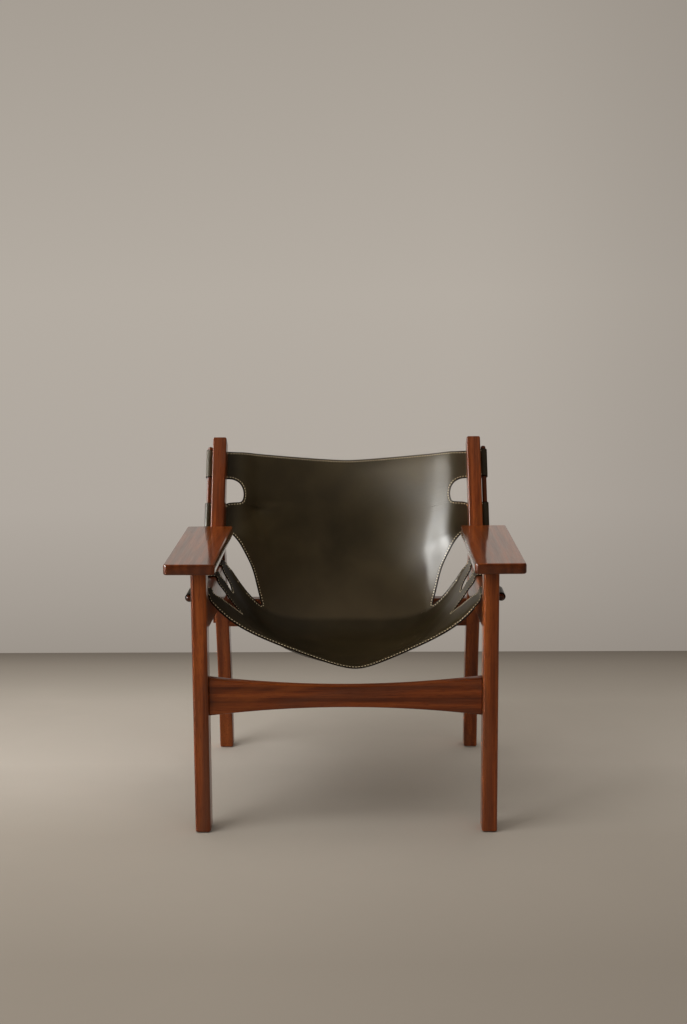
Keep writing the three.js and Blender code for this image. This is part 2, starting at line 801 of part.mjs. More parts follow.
function addPair(name, geometry, look) {
  add(`${name}_right`, geometry, look);
  add(`${name}_left`, mirrored(geometry), look);
}

addPair("front_leg", frontLeg(), "wood");
addPair("back_post", backPost(), "wood");
addPair("arm", arm(), "wood");
addPair("side_rail", sideRail(), "wood");
add("front_stretcher", frontStretcher(), "wood");
add("rear_stretcher", rearStretcher(), "wood");
addPair("seat_rod", seatRod(), "wood");
addPair("back_rod", backRod(), "wood");
add("leather_sling", sling(), "hide");
addPair("rail_front_peg", railFrontPeg(), "peg");
addPair("rail_rear_peg", railRearPeg(), "peg");
addPair("front_stretcher_peg", frontStretcherPeg(), "peg");
addPair("rear_stretcher_peg", rearStretcherPeg(), "peg");
armDowels().forEach((dowel, i) => addPair(`arm_front_dowel_${i + 1}`, dowel, "peg"));
addPair("arm_rear_dowel", rearDowel(), "peg");
addPair("front_glide", glide(legDepth / 2), "nylon");
addPair("rear_glide", glide(footCentreY), "nylon");

// The chair stands with the middle of its footprint at the origin.
const outer = new THREE.Box3().setFromObject(chair);
chair.position.y = -(outer.min.y + outer.max.y) / 2;

export default chair;
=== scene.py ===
# Looks of the sling lounge chair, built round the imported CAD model.
# +X is the viewer's right, +Y runs from front to back, +Z is up. Scene lengths are in metres. The sling is
# worked out in millimetres from the chair's front face, as in the CAD source, and then moved into the frame.

import math

import bpy
import numpy as np
from mathutils import Matrix, Vector
from mathutils.bvhtree import BVHTree
from mathutils.kdtree import KDTree


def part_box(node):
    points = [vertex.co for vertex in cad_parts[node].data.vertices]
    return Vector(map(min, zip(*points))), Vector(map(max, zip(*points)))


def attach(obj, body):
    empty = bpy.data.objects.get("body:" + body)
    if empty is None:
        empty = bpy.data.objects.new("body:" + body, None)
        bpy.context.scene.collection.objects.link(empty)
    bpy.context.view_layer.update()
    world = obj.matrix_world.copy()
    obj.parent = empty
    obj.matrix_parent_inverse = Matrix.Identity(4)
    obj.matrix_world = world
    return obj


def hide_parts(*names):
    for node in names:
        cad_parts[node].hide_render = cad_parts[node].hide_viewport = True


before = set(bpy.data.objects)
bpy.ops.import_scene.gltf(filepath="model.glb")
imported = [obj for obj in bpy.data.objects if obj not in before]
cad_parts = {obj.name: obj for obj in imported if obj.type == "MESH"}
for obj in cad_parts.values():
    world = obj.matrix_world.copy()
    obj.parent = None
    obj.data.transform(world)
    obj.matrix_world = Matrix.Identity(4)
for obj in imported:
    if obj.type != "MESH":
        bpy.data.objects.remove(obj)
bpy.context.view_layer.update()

MM = 0.001
TINY = 1e-9
SIDES = ("right", "left")
HANDS = (-1, 1)

# The camera, from a least squares fit to the photograph
CAMERA_PLACE = (0.0333, -3.3003, 1.1224)
CAMERA_DOWN = 9.028
CAMERA_TURN = 0.667
CAMERA_ROLL = -0.35
CAMERA_LENS = 55.32

# The frame's sizes that the sling needs, in millimetres
FRONT_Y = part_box("front_leg_right")[0].y / MM
FRAME_INNER_X = 270
FRAME_OUTER_X = 300.5
RAIL_INNER_X = 271
RAIL_TOP = 472
RAIL_EDGE = 5
KNEE_Y = 411
KNEE_HEIGHT = 519
POST_DEPTH = 42
BACK_RISE = 215
RECLINE = math.radians(29)
FIT_GAP = 0.3

# The leather and the rods that it goes round
LEATHER = 2.6
ROD_RADIUS = 5.5
LOOP_MIDDLE = ROD_RADIUS + FIT_GAP + LEATHER / 2
ROD_X = FRAME_OUTER_X + FIT_GAP + LOOP_MIDDLE + LEATHER / 2
SEAT_GAP = FIT_GAP + LEATHER / 2
LOOP_END_ANGLE = math.radians(-214)

# The sling's rows: along Y, then how far they hang at the middle
SEAT_ROWS = (
    # y, lead, sag, climb
    (58, 14, 142.5, 1),
    (122, 0, 163, 2),
    (236, 0, 176, 2.8),
    (290, 0, 178, 3.2),
    (362, 5, 175, 3.7),
    (424, 10, 163, 4),
)
BACK_ROWS = (
    # share of the rise, lift, belly, climb
    (0.042, -18, 93.5, 2.3),
    (0.312, 0, 91, 2),
    (0.563, 9, 87, 2),
    (0.833, 9, 80, 1.45),
)
BEND_CORNER = (480, 330)
BEND_STEPS = 4
LOOP_STARTS = (0, 2, 4, 9, 11)
BACK_LOOP_STARTS = (9, 11)

# How long the leather takes to turn into a strap: on the seat, and on the back, where it changes between two
# rows. Then how long it is flat behind a post, and the rows between which the seat turns into the back.
SEAT_BLEND = 30
LOW_BACK_BLEND = 97
TOP_BACK_BLEND = 58
BLEND_ROWS = (8, 11)
BACK_FLAT = 24
BACK_ROWS_FROM_TO = (6, 9)

# The front edge hangs like a V: where its lowest point is, over how many rows it fades and how fast at
# first, and the shape of its sides
LOW_POINT_X = 21
FADE_ROWS = 3
FADE_START = 0.64
V_SLOPE = 0.8
V_ROUND_SHARE = 0.12
V_END = 0.28
V_END_POWER = 7

# Points along lines. Between the last seat loop and the first back loop the leather is one smooth patch.
LINE_POINTS = 240
FLAT_POINTS = 8
RAIL_ARC_POINTS = 7
STRAP_POINTS = 9
RING_POINTS = 34
PATCH_POINTS = 300
PATCH_STEP = 6
PATCH_ROWS = (5, 9)

# The outlines of the openings, from one loop to the next: the share of the way between the loops, then the
# depth of the cut in millimetres along the leather
FRONT_HOLE = (
    (0, 0), (0.13, 14), (0.25, 27), (0.4, 42), (0.6, 60), (0.8, 76), (0.93, 86), (0.97, 86), (0.985, 76),
    (1, 0),
)
REAR_HOLE = (
    (0, 0), (0.2, 4), (0.28, 20), (0.34, 40), (0.42, 49), (0.55, 50), (0.75, 46), (0.93, 41), (0.98, 34),
    (1, 0),
)
ARM_OPENING = (
    (0, 0), (0.09, 1.5), (0.15, 5), (0.168, 20), (0.173, 75), (0.178, 124), (0.185, 132), (0.21, 128),
    (0.28, 116), (0.34, 106), (0.43, 91), (0.5, 80), (0.55, 71), (0.6, 61), (0.652, 50.5), (0.7, 42.5),
    (0.77, 35), (0.86, 26.5), (0.94, 18), (0.98, 11), (1, 0),
)
HAND_HOLE = (
    (0, 0), (0.04, 1.5), (0.08, 7), (0.095, 18), (0.105, 30), (0.15, 35.5), (0.24, 38.5), (0.36, 40),
    (0.5, 40), (0.64, 38), (0.77, 34), (0.88, 27.5), (0.955, 19), (0.99, 12), (1, 0),
)
OPENINGS = {
    # first row: last row, outline
    1: (2, FRONT_HOLE),
    3: (4, REAR_HOLE),
    5: (9, ARM_OPENING),
    10: (11, HAND_HOLE),
}
OUTLINE_ROUNDS = 3
CORNER_SHARE = 0.25
OUTLINE_SPACING = 2.4

# Folds drawn in the leather: x, the way along the sling, the angle, the length, the width and the height
FOLDS = (
    (-203, 583, 14, 24, 11, -4),
    (-190, 602, 14, 30, 10, 1.6),
    (-190, 604, 12, 46, 10, -3),
    (-215, 560, 60, 40, 16, -2),
    (212, 645, 78, 34, 15, 0.9),
    (182, 672, 84, 30, 16, -0.7),
    (232, 600, 70, 26, 10, -0.8),
    (225, 690, 88, 20, 9, 0.6),
    (150, 672, 80, 20, 1.6, 0.35),
    (0, 700, 0, 260, 16, 1.0),
    (120, 250, 38, 70, 18, 1.0),
    (-110, 230, -35, 70, 20, 0.9),
)

# Slack ripples that fade towards the edges: a height, and waves that are multiplied. Each wave has its
# lengths across and along the sling, over 2 pi, and its shift.
RIPPLES = (
    (0.6, ((61, math.inf, 1.3), (math.inf, 83, 0.4))),
    (0.36, ((37, -71, 2.1),)),
    (0.14, ((19, 43, 0), (-51, 27, 0.7))),
)
RIPPLE_FADE = 60
RIPPLE_FADE_POWER = 1.5

# The front edge turns down a little over its last stretch, and the top edge leans back.
CURL_DROP = 4.2
CURL_LENGTH = 17
LEAN_BACK = 2.6
LEAN_LENGTH = 30

# The free edge beside each arm curls forward.
FREE_EDGE_CURL = 6
FREE_EDGE_WIDTH = 42
FREE_EDGE_SPAN = (380, 450, 470, 560)
FREE_EDGE_X = (120, 170)

# The crease between the seat and the back: the way along the sling at the middle, how much sooner it lies
# how far to a side, its depth and width, and how near an edge it fades
CREASE_AT = 405
CREASE_BEND = 14
CREASE_SIDE = 200
CREASE_DEPTH = 1.3
CREASE_WIDTH = 9
CREASE_FADE = 20

# Folds, ripples and curls end this far inside the rods, and fade over this length.
SHAPED_END = 40
SHAPED_FADE = 20

# Distances from an edge where the leather gets its points, the spacing further in, the rounded edge and the
# painted one, and the groove under the stitches
EDGE_STEPS = (0, 0.12, 0.4, 1, 1.8, 3, 4, 4.6, 5.2, 6.2, 9)
ROW_SPACING = 5.5
INNER_COLUMNS = 40
RIM_SPACING = 0.5
EDGE_RADIUS = 1.1
PAINTED_EDGE = 1.9
GROOVE_DEPTH = 0.3
GROOVE_WIDTH = 0.7
GROOVED_SHARE = 0.5
FAR_FROM_EDGE = 60
FAR_FROM_END = 1e3

# Stitches, and the rings of each one: the share of its length, the width's share and the height
STITCH_INSET = 4.6
STITCH_SLACK = 0.5
STITCH_PITCH = 6.2
STITCH_LENGTH = 3.3
STITCH_SHORTEST = 1
STITCH_RADIUS = 0.75
STITCH_SIDES = 6
STITCH_BREAK = 20
STITCH_LIFT = 0.08
STITCH_WIDE = 1.15
STITCH_FLAT = 0.85
STITCH_RINGS = (
    (-0.5, 0.15, -0.45),
    (-0.4, 0.8, -0.1),
    (-0.15, 1, 0.12),
    (0.15, 1, 0.12),
    (0.4, 0.8, -0.1),
    (0.5, 0.15, -0.45),
)
SEAM_X = 296.5


def place(points):
    """Millimetres from the chair's front face to metres in the model's frame."""
    moved = np.asarray(points, float) + np.array([0, FRONT_Y, 0])
    return moved * MM


def mesh_object(name, points, faces, smooth=True):
    mesh = bpy.data.meshes.new(name)
    mesh.from_pydata([tuple(p) for p in points], [], [tuple(f) for f in faces])
    mesh.validate()
    if smooth:
        mesh.shade_smooth()
    obj = bpy.data.objects.new(name, mesh)
    bpy.context.scene.collection.objects.link(obj)
    return obj


# The sling's surface

UP = np.array([0, 0, 1])
BEHIND = np.array([0, math.cos(RECLINE), -math.sin(RECLINE)])
REAR_Y = KNEE_Y + POST_DEPTH * math.cos(RECLINE)
REAR_Z = KNEE_HEIGHT - POST_DEPTH * math.sin(RECLINE)
SEAT_CORNER_X = RAIL_INNER_X - SEAT_GAP
BACK_CORNER_X = FRAME_INNER_X + SEAT_GAP


def behind_post(x, height, offset):
    """A place behind the reclined post: at a height on its rear face, then square to that face."""
    y = REAR_Y + (height - REAR_Z) * math.tan(RECLINE)
    return np.array([x, y, height]) + offset * BEHIND


def sling_rows():
    """The middle, the side and the climb of each row, from the front edge to the top edge."""
    rows = []
    for y, lead, sag, climb in SEAT_ROWS:
        rows.append(((y - lead, RAIL_TOP - sag), (SEAT_CORNER_X, y, RAIL_TOP - RAIL_EDGE), climb))
    back = []
    for share, lift, belly, climb in BACK_ROWS:
        height = KNEE_HEIGHT + share * BACK_RISE
        middle = behind_post(0, height + lift, belly)
        back.append(((middle[1], middle[2]), behind_post(BACK_CORNER_X, height, SEAT_GAP), climb))
    (seat_middle, seat_side, seat_climb), (back_middle, back_side, back_climb) = rows[-1], back[0]
    for i in range(1, BEND_STEPS):
        share = i / BEND_STEPS
        into = np.array(seat_middle) + share * (np.array(BEND_CORNER) - seat_middle)
        out = np.array(BEND_CORNER) + share * (np.array(back_middle) - BEND_CORNER)
        side = np.array(seat_side) + share * (np.array(back_side) - seat_side)
        rows.append((into + share * (out - into), side, seat_climb + share * (back_climb - seat_climb)))
    rows += back
    middles, sides, climbs = (np.array([row[i] for row in rows], float) for i in range(3))
    return middles, sides, climbs[:, None]


MIDDLES, ROW_SIDES, CLIMBS = sling_rows()


def row_lengths():
    """How far along the sling each row is: the mean of the way at the middle and at the side."""
    steps = [np.linalg.norm(np.diff(line, axis=0), axis=1) for line in (MIDDLES, ROW_SIDES)]
    return np.concatenate([[0], np.cumsum(np.mean(steps, axis=0))])


ROWS_AT = row_lengths()


def smooth_slopes(at, values):
    """Slopes of the smoothest curve through the values."""
    gap = np.diff(at)
    count = len(at)
    table = np.zeros((count, count))
    right = np.zeros(values.shape)
    for k in range(1, count - 1):
        table[k, k - 1] = 1 / gap[k - 1]
        table[k, k] = 2 / gap[k - 1] + 2 / gap[k]
        table[k, k + 1] = 1 / gap[k]
        right[k] = 3 * (values[k] - values[k - 1]) / gap[k - 1] ** 2
        right[k] += 3 * (values[k + 1] - values[k]) / gap[k] ** 2
    table[0, :2] = 2, 1
    table[-1, -2:] = 1, 2
    right[0] = 3 * (values[1] - values[0]) / gap[0]
    right[-1] = 3 * (values[-1] - values[-2]) / gap[-1]
    return np.linalg.solve(table, right)


def side_slopes():
    """Slopes of the side: straight along each loop, and smooth between."""
    slopes = smooth_slopes(ROWS_AT, ROW_SIDES)
    for k in LOOP_STARTS:
        straight = (ROW_SIDES[k + 1] - ROW_SIDES[k]) / (ROWS_AT[k + 1] - ROWS_AT[k])
        slopes[k] = slopes[k + 1] = straight
    return slopes


MIDDLE_SLOPES = smooth_slopes(ROWS_AT, MIDDLES)
SIDE_SLOPES = side_slopes()
CLIMB_SLOPES = smooth_slopes(ROWS_AT, CLIMBS)


def eased(t):
    return t * t * (3 - 2 * t)


def smooth_step(value, low, high):
    """0 up to low, 1 from high on and smooth between."""
    return eased(np.clip((value - low) / (high - low), 0, 1))


def cubic(start, end, leaving, arriving, t):
    """The curve from start to end with these ways of leaving and arriving, at t from 0 to 1."""
    return start + (end - start) * eased(t) + leaving * t * (1 - t) ** 2 - arriving * t * t * (1 - t)


def along(values, slopes, at):
    """The value at a length along the sling."""
    k = min(int(np.searchsorted(ROWS_AT, at, side="right")) - 1, len(ROWS_AT) - 2)
    gap = ROWS_AT[k + 1] - ROWS_AT[k]
    return cubic(values[k], values[k + 1], slopes[k] * gap, slopes[k + 1] * gap, (at - ROWS_AT[k]) / gap)


def mirrored(point, hand):
    return point * np.array([hand, 1, 1])


def line_lengths(points):
    """How far along a line each of its points is."""
    return np.concatenate([[0], np.cumsum(np.linalg.norm(np.diff(points, axis=0), axis=1))])


def at_lengths(line, lengths, wanted):
    """The places at the wanted lengths along a line."""
    return np.stack([np.interp(wanted, lengths, values) for values in line.T], 1)


def front_climb(share):
    """The front edge hangs like a V with a rounded point, and turns up close to the rail."""
    def rise(s):
        return V_SLOPE * (np.hypot(s, V_ROUND_SHARE) - V_ROUND_SHARE) + V_END * s**V_END_POWER
    return rise(share) / rise(1)


def front_share(at):
    """How much of the front edge's V is left at a length along the sling."""
    t = min(at / ROWS_AT[FADE_ROWS], 1)
    return (1 - t) ** 2 * (1 + FADE_START * t)


def back_share(at):
    """0 on the seat and 1 on the back, with a smooth change in the bend between them."""
    return smooth_step(at, *(ROWS_AT[row] for row in BACK_ROWS_FROM_TO))


def strap_direction(at):
    """The way in which a strap leaves the sling's side: up over the rail, or outwards behind the post."""
    angle = back_share(at) * math.pi / 2
    return np.array([math.sin(angle), 0, math.cos(angle)])


def loop_line(at, hand):
    """The middle of the leather from the centre line to one side, where it runs into a loop."""
    side = mirrored(along(ROW_SIDES, SIDE_SLOPES, at), hand)
    middle = along(MIDDLES, MIDDLE_SLOPES, at)
    climb = along(CLIMBS, CLIMB_SLOPES, at)[0]
    back = back_share(at)
    leaving = mirrored(strap_direction(at), hand)
    # Behind the post the leather is flat for a short way.
    turned = side - leaving * BACK_FLAT * back
    front = front_share(at)
    low_x = LOW_POINT_X * front
    reach = abs(turned[0])
    x = np.linspace(0, turned[0], LINE_POINTS)
    share = np.where(x > low_x, (x - low_x) / (reach - low_x), (low_x - x) / (reach + low_x))
    rise = front * front_climb(share) + (1 - front) * share**climb
    y = middle[0] + (turned[1] - middle[0]) * share**2
    z = middle[1] + (turned[2] - middle[1]) * rise
    points = np.stack([x, y, z], 1)
    lengths = line_lengths(points)
    # The last stretch turns smoothly into the strap.
    higher = smooth_step(at, *(ROWS_AT[row] for row in BLEND_ROWS))
    back_blend = LOW_BACK_BLEND + (TOP_BACK_BLEND - LOW_BACK_BLEND) * higher
    blend = SEAT_BLEND + (back_blend - SEAT_BLEND) * back
    start = int(np.searchsorted(lengths, lengths[-1] - blend))
    span = lengths[-1] - lengths[start]
    t = ((lengths[start:] - lengths[start]) / span)[:, None]
    tangent = points[start] - points[start - 1]
    tangent = tangent / np.linalg.norm(tangent)
    blended = cubic(points[start], points[-1], tangent * span, leaving * span, t)
    flat = turned + (side - turned) * np.linspace(0, 1, FLAT_POINTS)[1:, None]
    points = np.concatenate([points[:start], blended] + [flat] * (back > 0))
    return points, line_lengths(points)


def even_line(at, hand):
    """A loop line with evenly spaced points."""
    line, lengths = loop_line(at, hand)
    return at_lengths(line, lengths, np.linspace(0, lengths[-1], PATCH_POINTS))


def across_line(at, hand):
    """The middle of the leather from the centre line to one side, as dense points and their lengths."""
    start, end = (ROWS_AT[row] for row in PATCH_ROWS)
    if not start < at < end:
        return loop_line(at, hand)
    gap = end - start
    first, last = even_line(start, hand), even_line(end, hand)
    leaving = (first - even_line(start - PATCH_STEP, hand)) / PATCH_STEP * gap
    arriving = (even_line(end + PATCH_STEP, hand) - last) / PATCH_STEP * gap
    points = cubic(first, last, leaving, arriving, (at - start) / gap)
    return points, line_lengths(points)


def opening_outline(length, outline):
    """An opening's outline, smoothed and evenly spaced, as pairs of its way along the side and its depth."""
    line = np.array(outline) * np.array([length, 1])
    for _ in range(OUTLINE_ROUNDS):
        near = line[:-1] * (1 - CORNER_SHARE) + line[1:] * CORNER_SHARE
        far = line[:-1] * CORNER_SHARE + line[1:] * (1 - CORNER_SHARE)
        line = np.concatenate([line[:1], np.stack([near, far], 1).reshape(-1, 2), line[-1:]])
    lengths = line_lengths(line)
    wanted = np.linspace(0, lengths[-1], round(lengths[-1] / OUTLINE_SPACING))
    return at_lengths(line, lengths, wanted)[1:-1] / np.array([length, 1])


def edge_places(length):
    """Places along a loop, close together near its two edges."""
    count = max(2, round((length - 2 * EDGE_STEPS[-1]) / ROW_SPACING))
    inner = np.linspace(EDGE_STEPS[-1], length - EDGE_STEPS[-1], count)[1:-1]
    return np.concatenate([EDGE_STEPS, inner, length - np.array(EDGE_STEPS[::-1])])


def all_rows():
    """Each row of the mesh: its length along the sling, its cut at the side and the loop that it is in."""
    rows = []
    for k in LOOP_STARTS:
        width = np.linalg.norm(ROW_SIDES[k + 1] - ROW_SIDES[k])
        for d in edge_places(width):
            rows.append((ROWS_AT[k] + (ROWS_AT[k + 1] - ROWS_AT[k]) * d / width, 0, k))
        if k + 1 in OPENINGS:
            last, outline = OPENINGS[k + 1]
            length = ROWS_AT[last] - ROWS_AT[k + 1]
            for share, cut in opening_outline(length, outline):
                rows.append((ROWS_AT[k + 1] + length * share, cut, None))
    return rows


def ring(radius, first, last, count):
    """Points on part of a circle round the origin."""
    angles = np.linspace(first, last, count)
    return radius * np.stack([np.cos(angles), np.sin(angles)], 1)


def strap_line(k):
    """A strap's middle line in its own plane, from the sling's side to the loop's end: across, outwards."""
    if k in BACK_LOOP_STARTS:
        start = np.array([[0, 0]])
        base_x, base_face = BACK_CORNER_X, 0
    else:
        base_x, base_face = SEAT_CORNER_X, RAIL_EDGE + SEAT_GAP
        start = np.array([base_face, 0]) + ring(base_face, math.pi, math.pi / 2, RAIL_ARC_POINTS)
    rod = np.array([ROD_X - base_x, base_face])
    run = start[-1] + (rod - start[-1]) * np.linspace(0, 1, STRAP_POINTS)[1:, None]
    loop = ring(LOOP_MIDDLE, math.pi / 2, LOOP_END_ANGLE, RING_POINTS)[1:]
    return np.concatenate([start[1:], run, rod - np.array([0, LOOP_MIDDLE]) + loop])


def sling_middle():
    """The leather's middle surface: points, faces, lengths left to a strap's end, ways along the sling."""
    points = []
    left = []
    places = []
    faces = []
    grid = []
    straps = {k: strap_line(k) for k in LOOP_STARTS}
    for at, cut, loop in all_rows():
        line_ids = []
        for hand in HANDS:
            line, lengths = across_line(at, hand)
            edge = lengths[-1] - cut
            inner = np.linspace(0, edge - EDGE_STEPS[-1], INNER_COLUMNS)[(0 if hand > 0 else 1):-1]
            wanted = np.concatenate([inner, edge - np.array(EDGE_STEPS[::-1])])
            panel = at_lengths(line, lengths, wanted)
            strap = np.zeros((0, 3))
            if loop is not None:
                flat = straps[loop]
                out = BEHIND if loop in BACK_LOOP_STARTS else UP
                strap = panel[-1] + flat[:, :1] * np.array([hand, 0, 0]) + flat[:, 1:] * out
            whole = np.concatenate([panel, strap])
            remaining = np.full(len(whole), FAR_FROM_END)
            if len(strap):
                lengths = line_lengths(whole[-len(strap) - 1:])
                remaining[-len(strap) - 1:] = lengths[-1] - lengths
            ids = list(range(len(points), len(points) + len(whole)))
            points.extend(whole)
            left.extend(remaining)
            places.extend([at] * len(whole))
            line_ids.append((ids[:len(panel)], ids[len(panel):]))
        (left_panel, left_strap), (right_panel, right_strap) = line_ids
        panel_ids = left_panel[::-1] + right_panel
        grid.append((panel_ids, [left_panel[-1]] + left_strap, [right_panel[-1]] + right_strap, loop))
    for (a, la, ra, ka), (b, lb, rb, kb) in zip(grid, grid[1:]):
        faces += [(a[j], a[j + 1], b[j + 1], b[j]) for j in range(len(a) - 1)]
        if ka is not None and ka == kb:
            faces += [(ra[j], ra[j + 1], rb[j + 1], rb[j]) for j in range(len(ra) - 1)]
            faces += [(la[j + 1], la[j], lb[j], lb[j + 1]) for j in range(len(la) - 1)]
    return np.array(points), np.array(faces), np.array(left), np.array(places)


def point_normals(points, faces):
    a, b, c, d = (points[faces[:, i]] for i in range(4))
    face_normals = np.cross(c - a, d - b)
    normals = np.zeros(points.shape)
    for i in range(4):
        np.add.at(normals, faces[:, i], face_normals)
    return normals / np.maximum(np.linalg.norm(normals, axis=1), TINY)[:, None]


def open_edges(faces):
    """Edges with one face only, each in the direction in which its face goes round."""
    seen = {}
    for face in faces:
        for i in range(4):
            edge = (int(face[i]), int(face[(i + 1) % 4]))
            key = (min(edge), max(edge))
            seen[key] = None if key in seen else edge
    return [edge for edge in seen.values() if edge is not None]


def chains(edges):
    """The edges as ordered runs of points."""
    after = dict(edges)
    starts = set(after) - set(after.values())
    runs = []
    for start in sorted(starts):
        run = [start]
        while run[-1] in after:
            run.append(after[run[-1]])
        runs.append(run)
    return runs


def spaced_points(line, step):
    """The line with points at most a step apart."""
    lengths = line_lengths(line)
    count = max(2, int(lengths[-1] / step) + 1)
    return at_lengths(line, lengths, np.linspace(0, lengths[-1], count))


def folds(x, at, edge_distance):
    """Small moves of the leather along its normal: the slack ripples and the drawn folds."""
    moved = np.zeros(len(x))
    for height, waves in RIPPLES:
        ripple = height * np.clip(edge_distance / RIPPLE_FADE, 0, 1) ** RIPPLE_FADE_POWER
        for across, lengthwise, shift in waves:
            ripple = ripple * np.sin(x / across + at / lengthwise + shift)
        moved += ripple
    for fold_x, fold_at, angle, length, width, height in FOLDS:
        turn = math.radians(angle)
        side, up = x - fold_x, at - fold_at
        along_fold = side * math.cos(turn) + up * math.sin(turn)
        across_fold = up * math.cos(turn) - side * math.sin(turn)
        moved += height * np.exp(-((along_fold / length) ** 2) - (across_fold / width) ** 2)
    return moved


def shaped(points, faces, places, distance, past_crease):
    """The middle surface with its folds, its crease and its curled edges."""
    side = abs(points[:, 0])
    curl = CURL_DROP * np.clip(1 - places / CURL_LENGTH, 0, 1) ** 2
    lean = LEAN_BACK * np.clip(1 - (ROWS_AT[-1] - places) / LEAN_LENGTH, 0, 1) ** 2
    start, full, still_full, end = FREE_EDGE_SPAN
    beside_arm = smooth_step(places, start, full) * smooth_step(places, end, still_full)
    beside_arm = beside_arm * smooth_step(side, *FREE_EDGE_X)
    free_curl = FREE_EDGE_CURL * beside_arm * np.clip(1 - distance / FREE_EDGE_WIDTH, 0, 1) ** 2
    crease = CREASE_DEPTH * np.exp(-((past_crease / CREASE_WIDTH) ** 2))
    crease = crease * np.clip(distance / CREASE_FADE, 0, 1)
    moved = folds(points[:, 0], places, distance) - curl - lean + free_curl - crease
    moved = moved * np.clip((ROD_X - SHAPED_END - side) / SHAPED_FADE, 0, 1)
    return points + point_normals(points, faces) * moved[:, None]


def half_thickness(distance, left):
    """Half the leather's thickness, rounded at the edges and with the groove for the stitches."""
    rounding = np.ones(len(distance))
    for d in (distance, left):
        inside = np.clip(1 - d / EDGE_RADIUS, 0, 1)
        rounding *= np.sqrt(1 - inside**2)
    groove = GROOVE_DEPTH * np.exp(-(((distance - STITCH_INSET) / GROOVE_WIDTH) ** 2))
    return LEATHER / 2 * rounding - groove * (rounding > GROOVED_SHARE)


def make_sling():
    """The leather as a closed mesh, with its middle surface, its free edges and a tree of places on them."""
    points, faces, left, places = sling_middle()
    ends = left < TINY
    edges = open_edges(faces)
    runs = chains([(a, b) for a, b in edges if not (ends[a] and ends[b])])
    rim = np.concatenate([spaced_points(points[run], RIM_SPACING) for run in runs])
    tree = KDTree(len(rim))
    for i, p in enumerate(rim):
        tree.insert(p, i)
    tree.balance()
    distance = np.array([tree.find(p)[2] for p in points])
    past_crease = places - CREASE_AT + CREASE_BEND * (points[:, 0] / CREASE_SIDE) ** 2
    points = shaped(points, faces, places, distance, past_crease)

    half = half_thickness(distance, left)
    rim_ids = {i for edge in edges for i in edge}
    half[list(rim_ids)] = 0
    inner_ids = [i for i in range(len(points)) if i not in rim_ids]
    offset = point_normals(points, faces) * half[:, None]
    both = np.concatenate([points + offset, points[inner_ids] - offset[inner_ids]])
    below = {i: i for i in rim_ids}
    below.update((i, len(points) + k) for k, i in enumerate(inner_ids))
    low_faces = [tuple(below[i] for i in face[::-1]) for face in faces]
    obj = mesh_object("sling_leather", place(both), [tuple(f) for f in faces] + low_faces)

    source = list(range(len(points))) + inner_ids
    from_edge = distance[source]
    values = {"edge_mm": np.minimum(from_edge, FAR_FROM_EDGE), "crease_mm": past_crease[source]}
    for name, value in values.items():
        attribute = obj.data.attributes.new(name, "FLOAT", "POINT")
        attribute.data.foreach_set("value", value.astype(np.float32))
    # The faces of the painted edge take the second material.
    for polygon in obj.data.polygons:
        polygon.material_index = int(max(from_edge[i] for i in polygon.vertices) < PAINTED_EDGE)
    return obj, points, faces, runs, tree


def edge_stitches(points, faces, surface, runs, rim_tree):
    """Stitches along the free edges and round the openings: the middle and the run of each."""
    normals = point_normals(points, faces)
    stitches = []
    for run in runs:
        line = points[run]
        tangents = np.gradient(line, axis=0)
        tangents /= np.maximum(np.linalg.norm(tangents, axis=1), TINY)[:, None]
        kept = []
        for p in line + np.cross(normals[run], tangents) * STITCH_INSET:
            spot = surface.find_nearest(Vector(p))[0]
            if rim_tree.find(spot)[2] > STITCH_INSET - STITCH_SLACK and abs(spot.x) < ROD_X:
                kept.append(np.array(spot))
        if len(kept) < 2:
            continue
        jumps = np.linalg.norm(np.diff(kept, axis=0), axis=1)
        for part in np.split(np.array(kept), np.flatnonzero(jumps > STITCH_BREAK) + 1):
            if len(part) < 2:
                continue
            lengths = line_lengths(part)
            count = int(lengths[-1] / STITCH_PITCH)
            for i in range(count):
                middle = (i + 0.5) * lengths[-1] / count
                reach = STITCH_LENGTH / 2
                a, b = at_lengths(part, lengths, [middle - reach, middle + reach])
                stitches.append(((a + b) / 2, b - a))
    return stitches


def strap_stitches():
    """Stitches across each strap, where its end is sewn down: the middle and the run of each."""
    stitches = []
    for k in LOOP_STARTS:
        lift = 0 if k in BACK_LOOP_STARTS else RAIL_EDGE + SEAT_GAP
        for hand in HANDS:
            first, last = (mirrored(ROW_SIDES[i], hand) for i in (k, k + 1))
            length = np.linalg.norm(last - first)
            inner = length - 2 * STITCH_INSET
            count = round(inner / STITCH_PITCH)
            for i in range(count):
                share = (STITCH_INSET + (i + 0.5) * inner / count) / length
                spot = first + (last - first) * share + lift * UP
                spot[0] = hand * SEAM_X
                stitches.append((spot, (last - first) / length * STITCH_LENGTH))
    return stitches


def stitch_places(points, faces, runs, rim_tree):
    """Where the stitches lie: places on the middle surface, directions and the surface's normals."""
    surface = BVHTree.FromPolygons([Vector(p) for p in points], [tuple(int(i) for i in f) for f in faces])
    placed = []
    for spot, run in edge_stitches(points, faces, surface, runs, rim_tree) + strap_stitches():
        where, normal = surface.find_nearest(Vector(spot))[:2]
        run = np.array(run) - np.dot(run, normal) * np.array(normal)
        length = np.linalg.norm(run)
        if length > STITCH_SHORTEST:
            placed.append((np.array(where), run / length, np.array(normal)))
    return placed


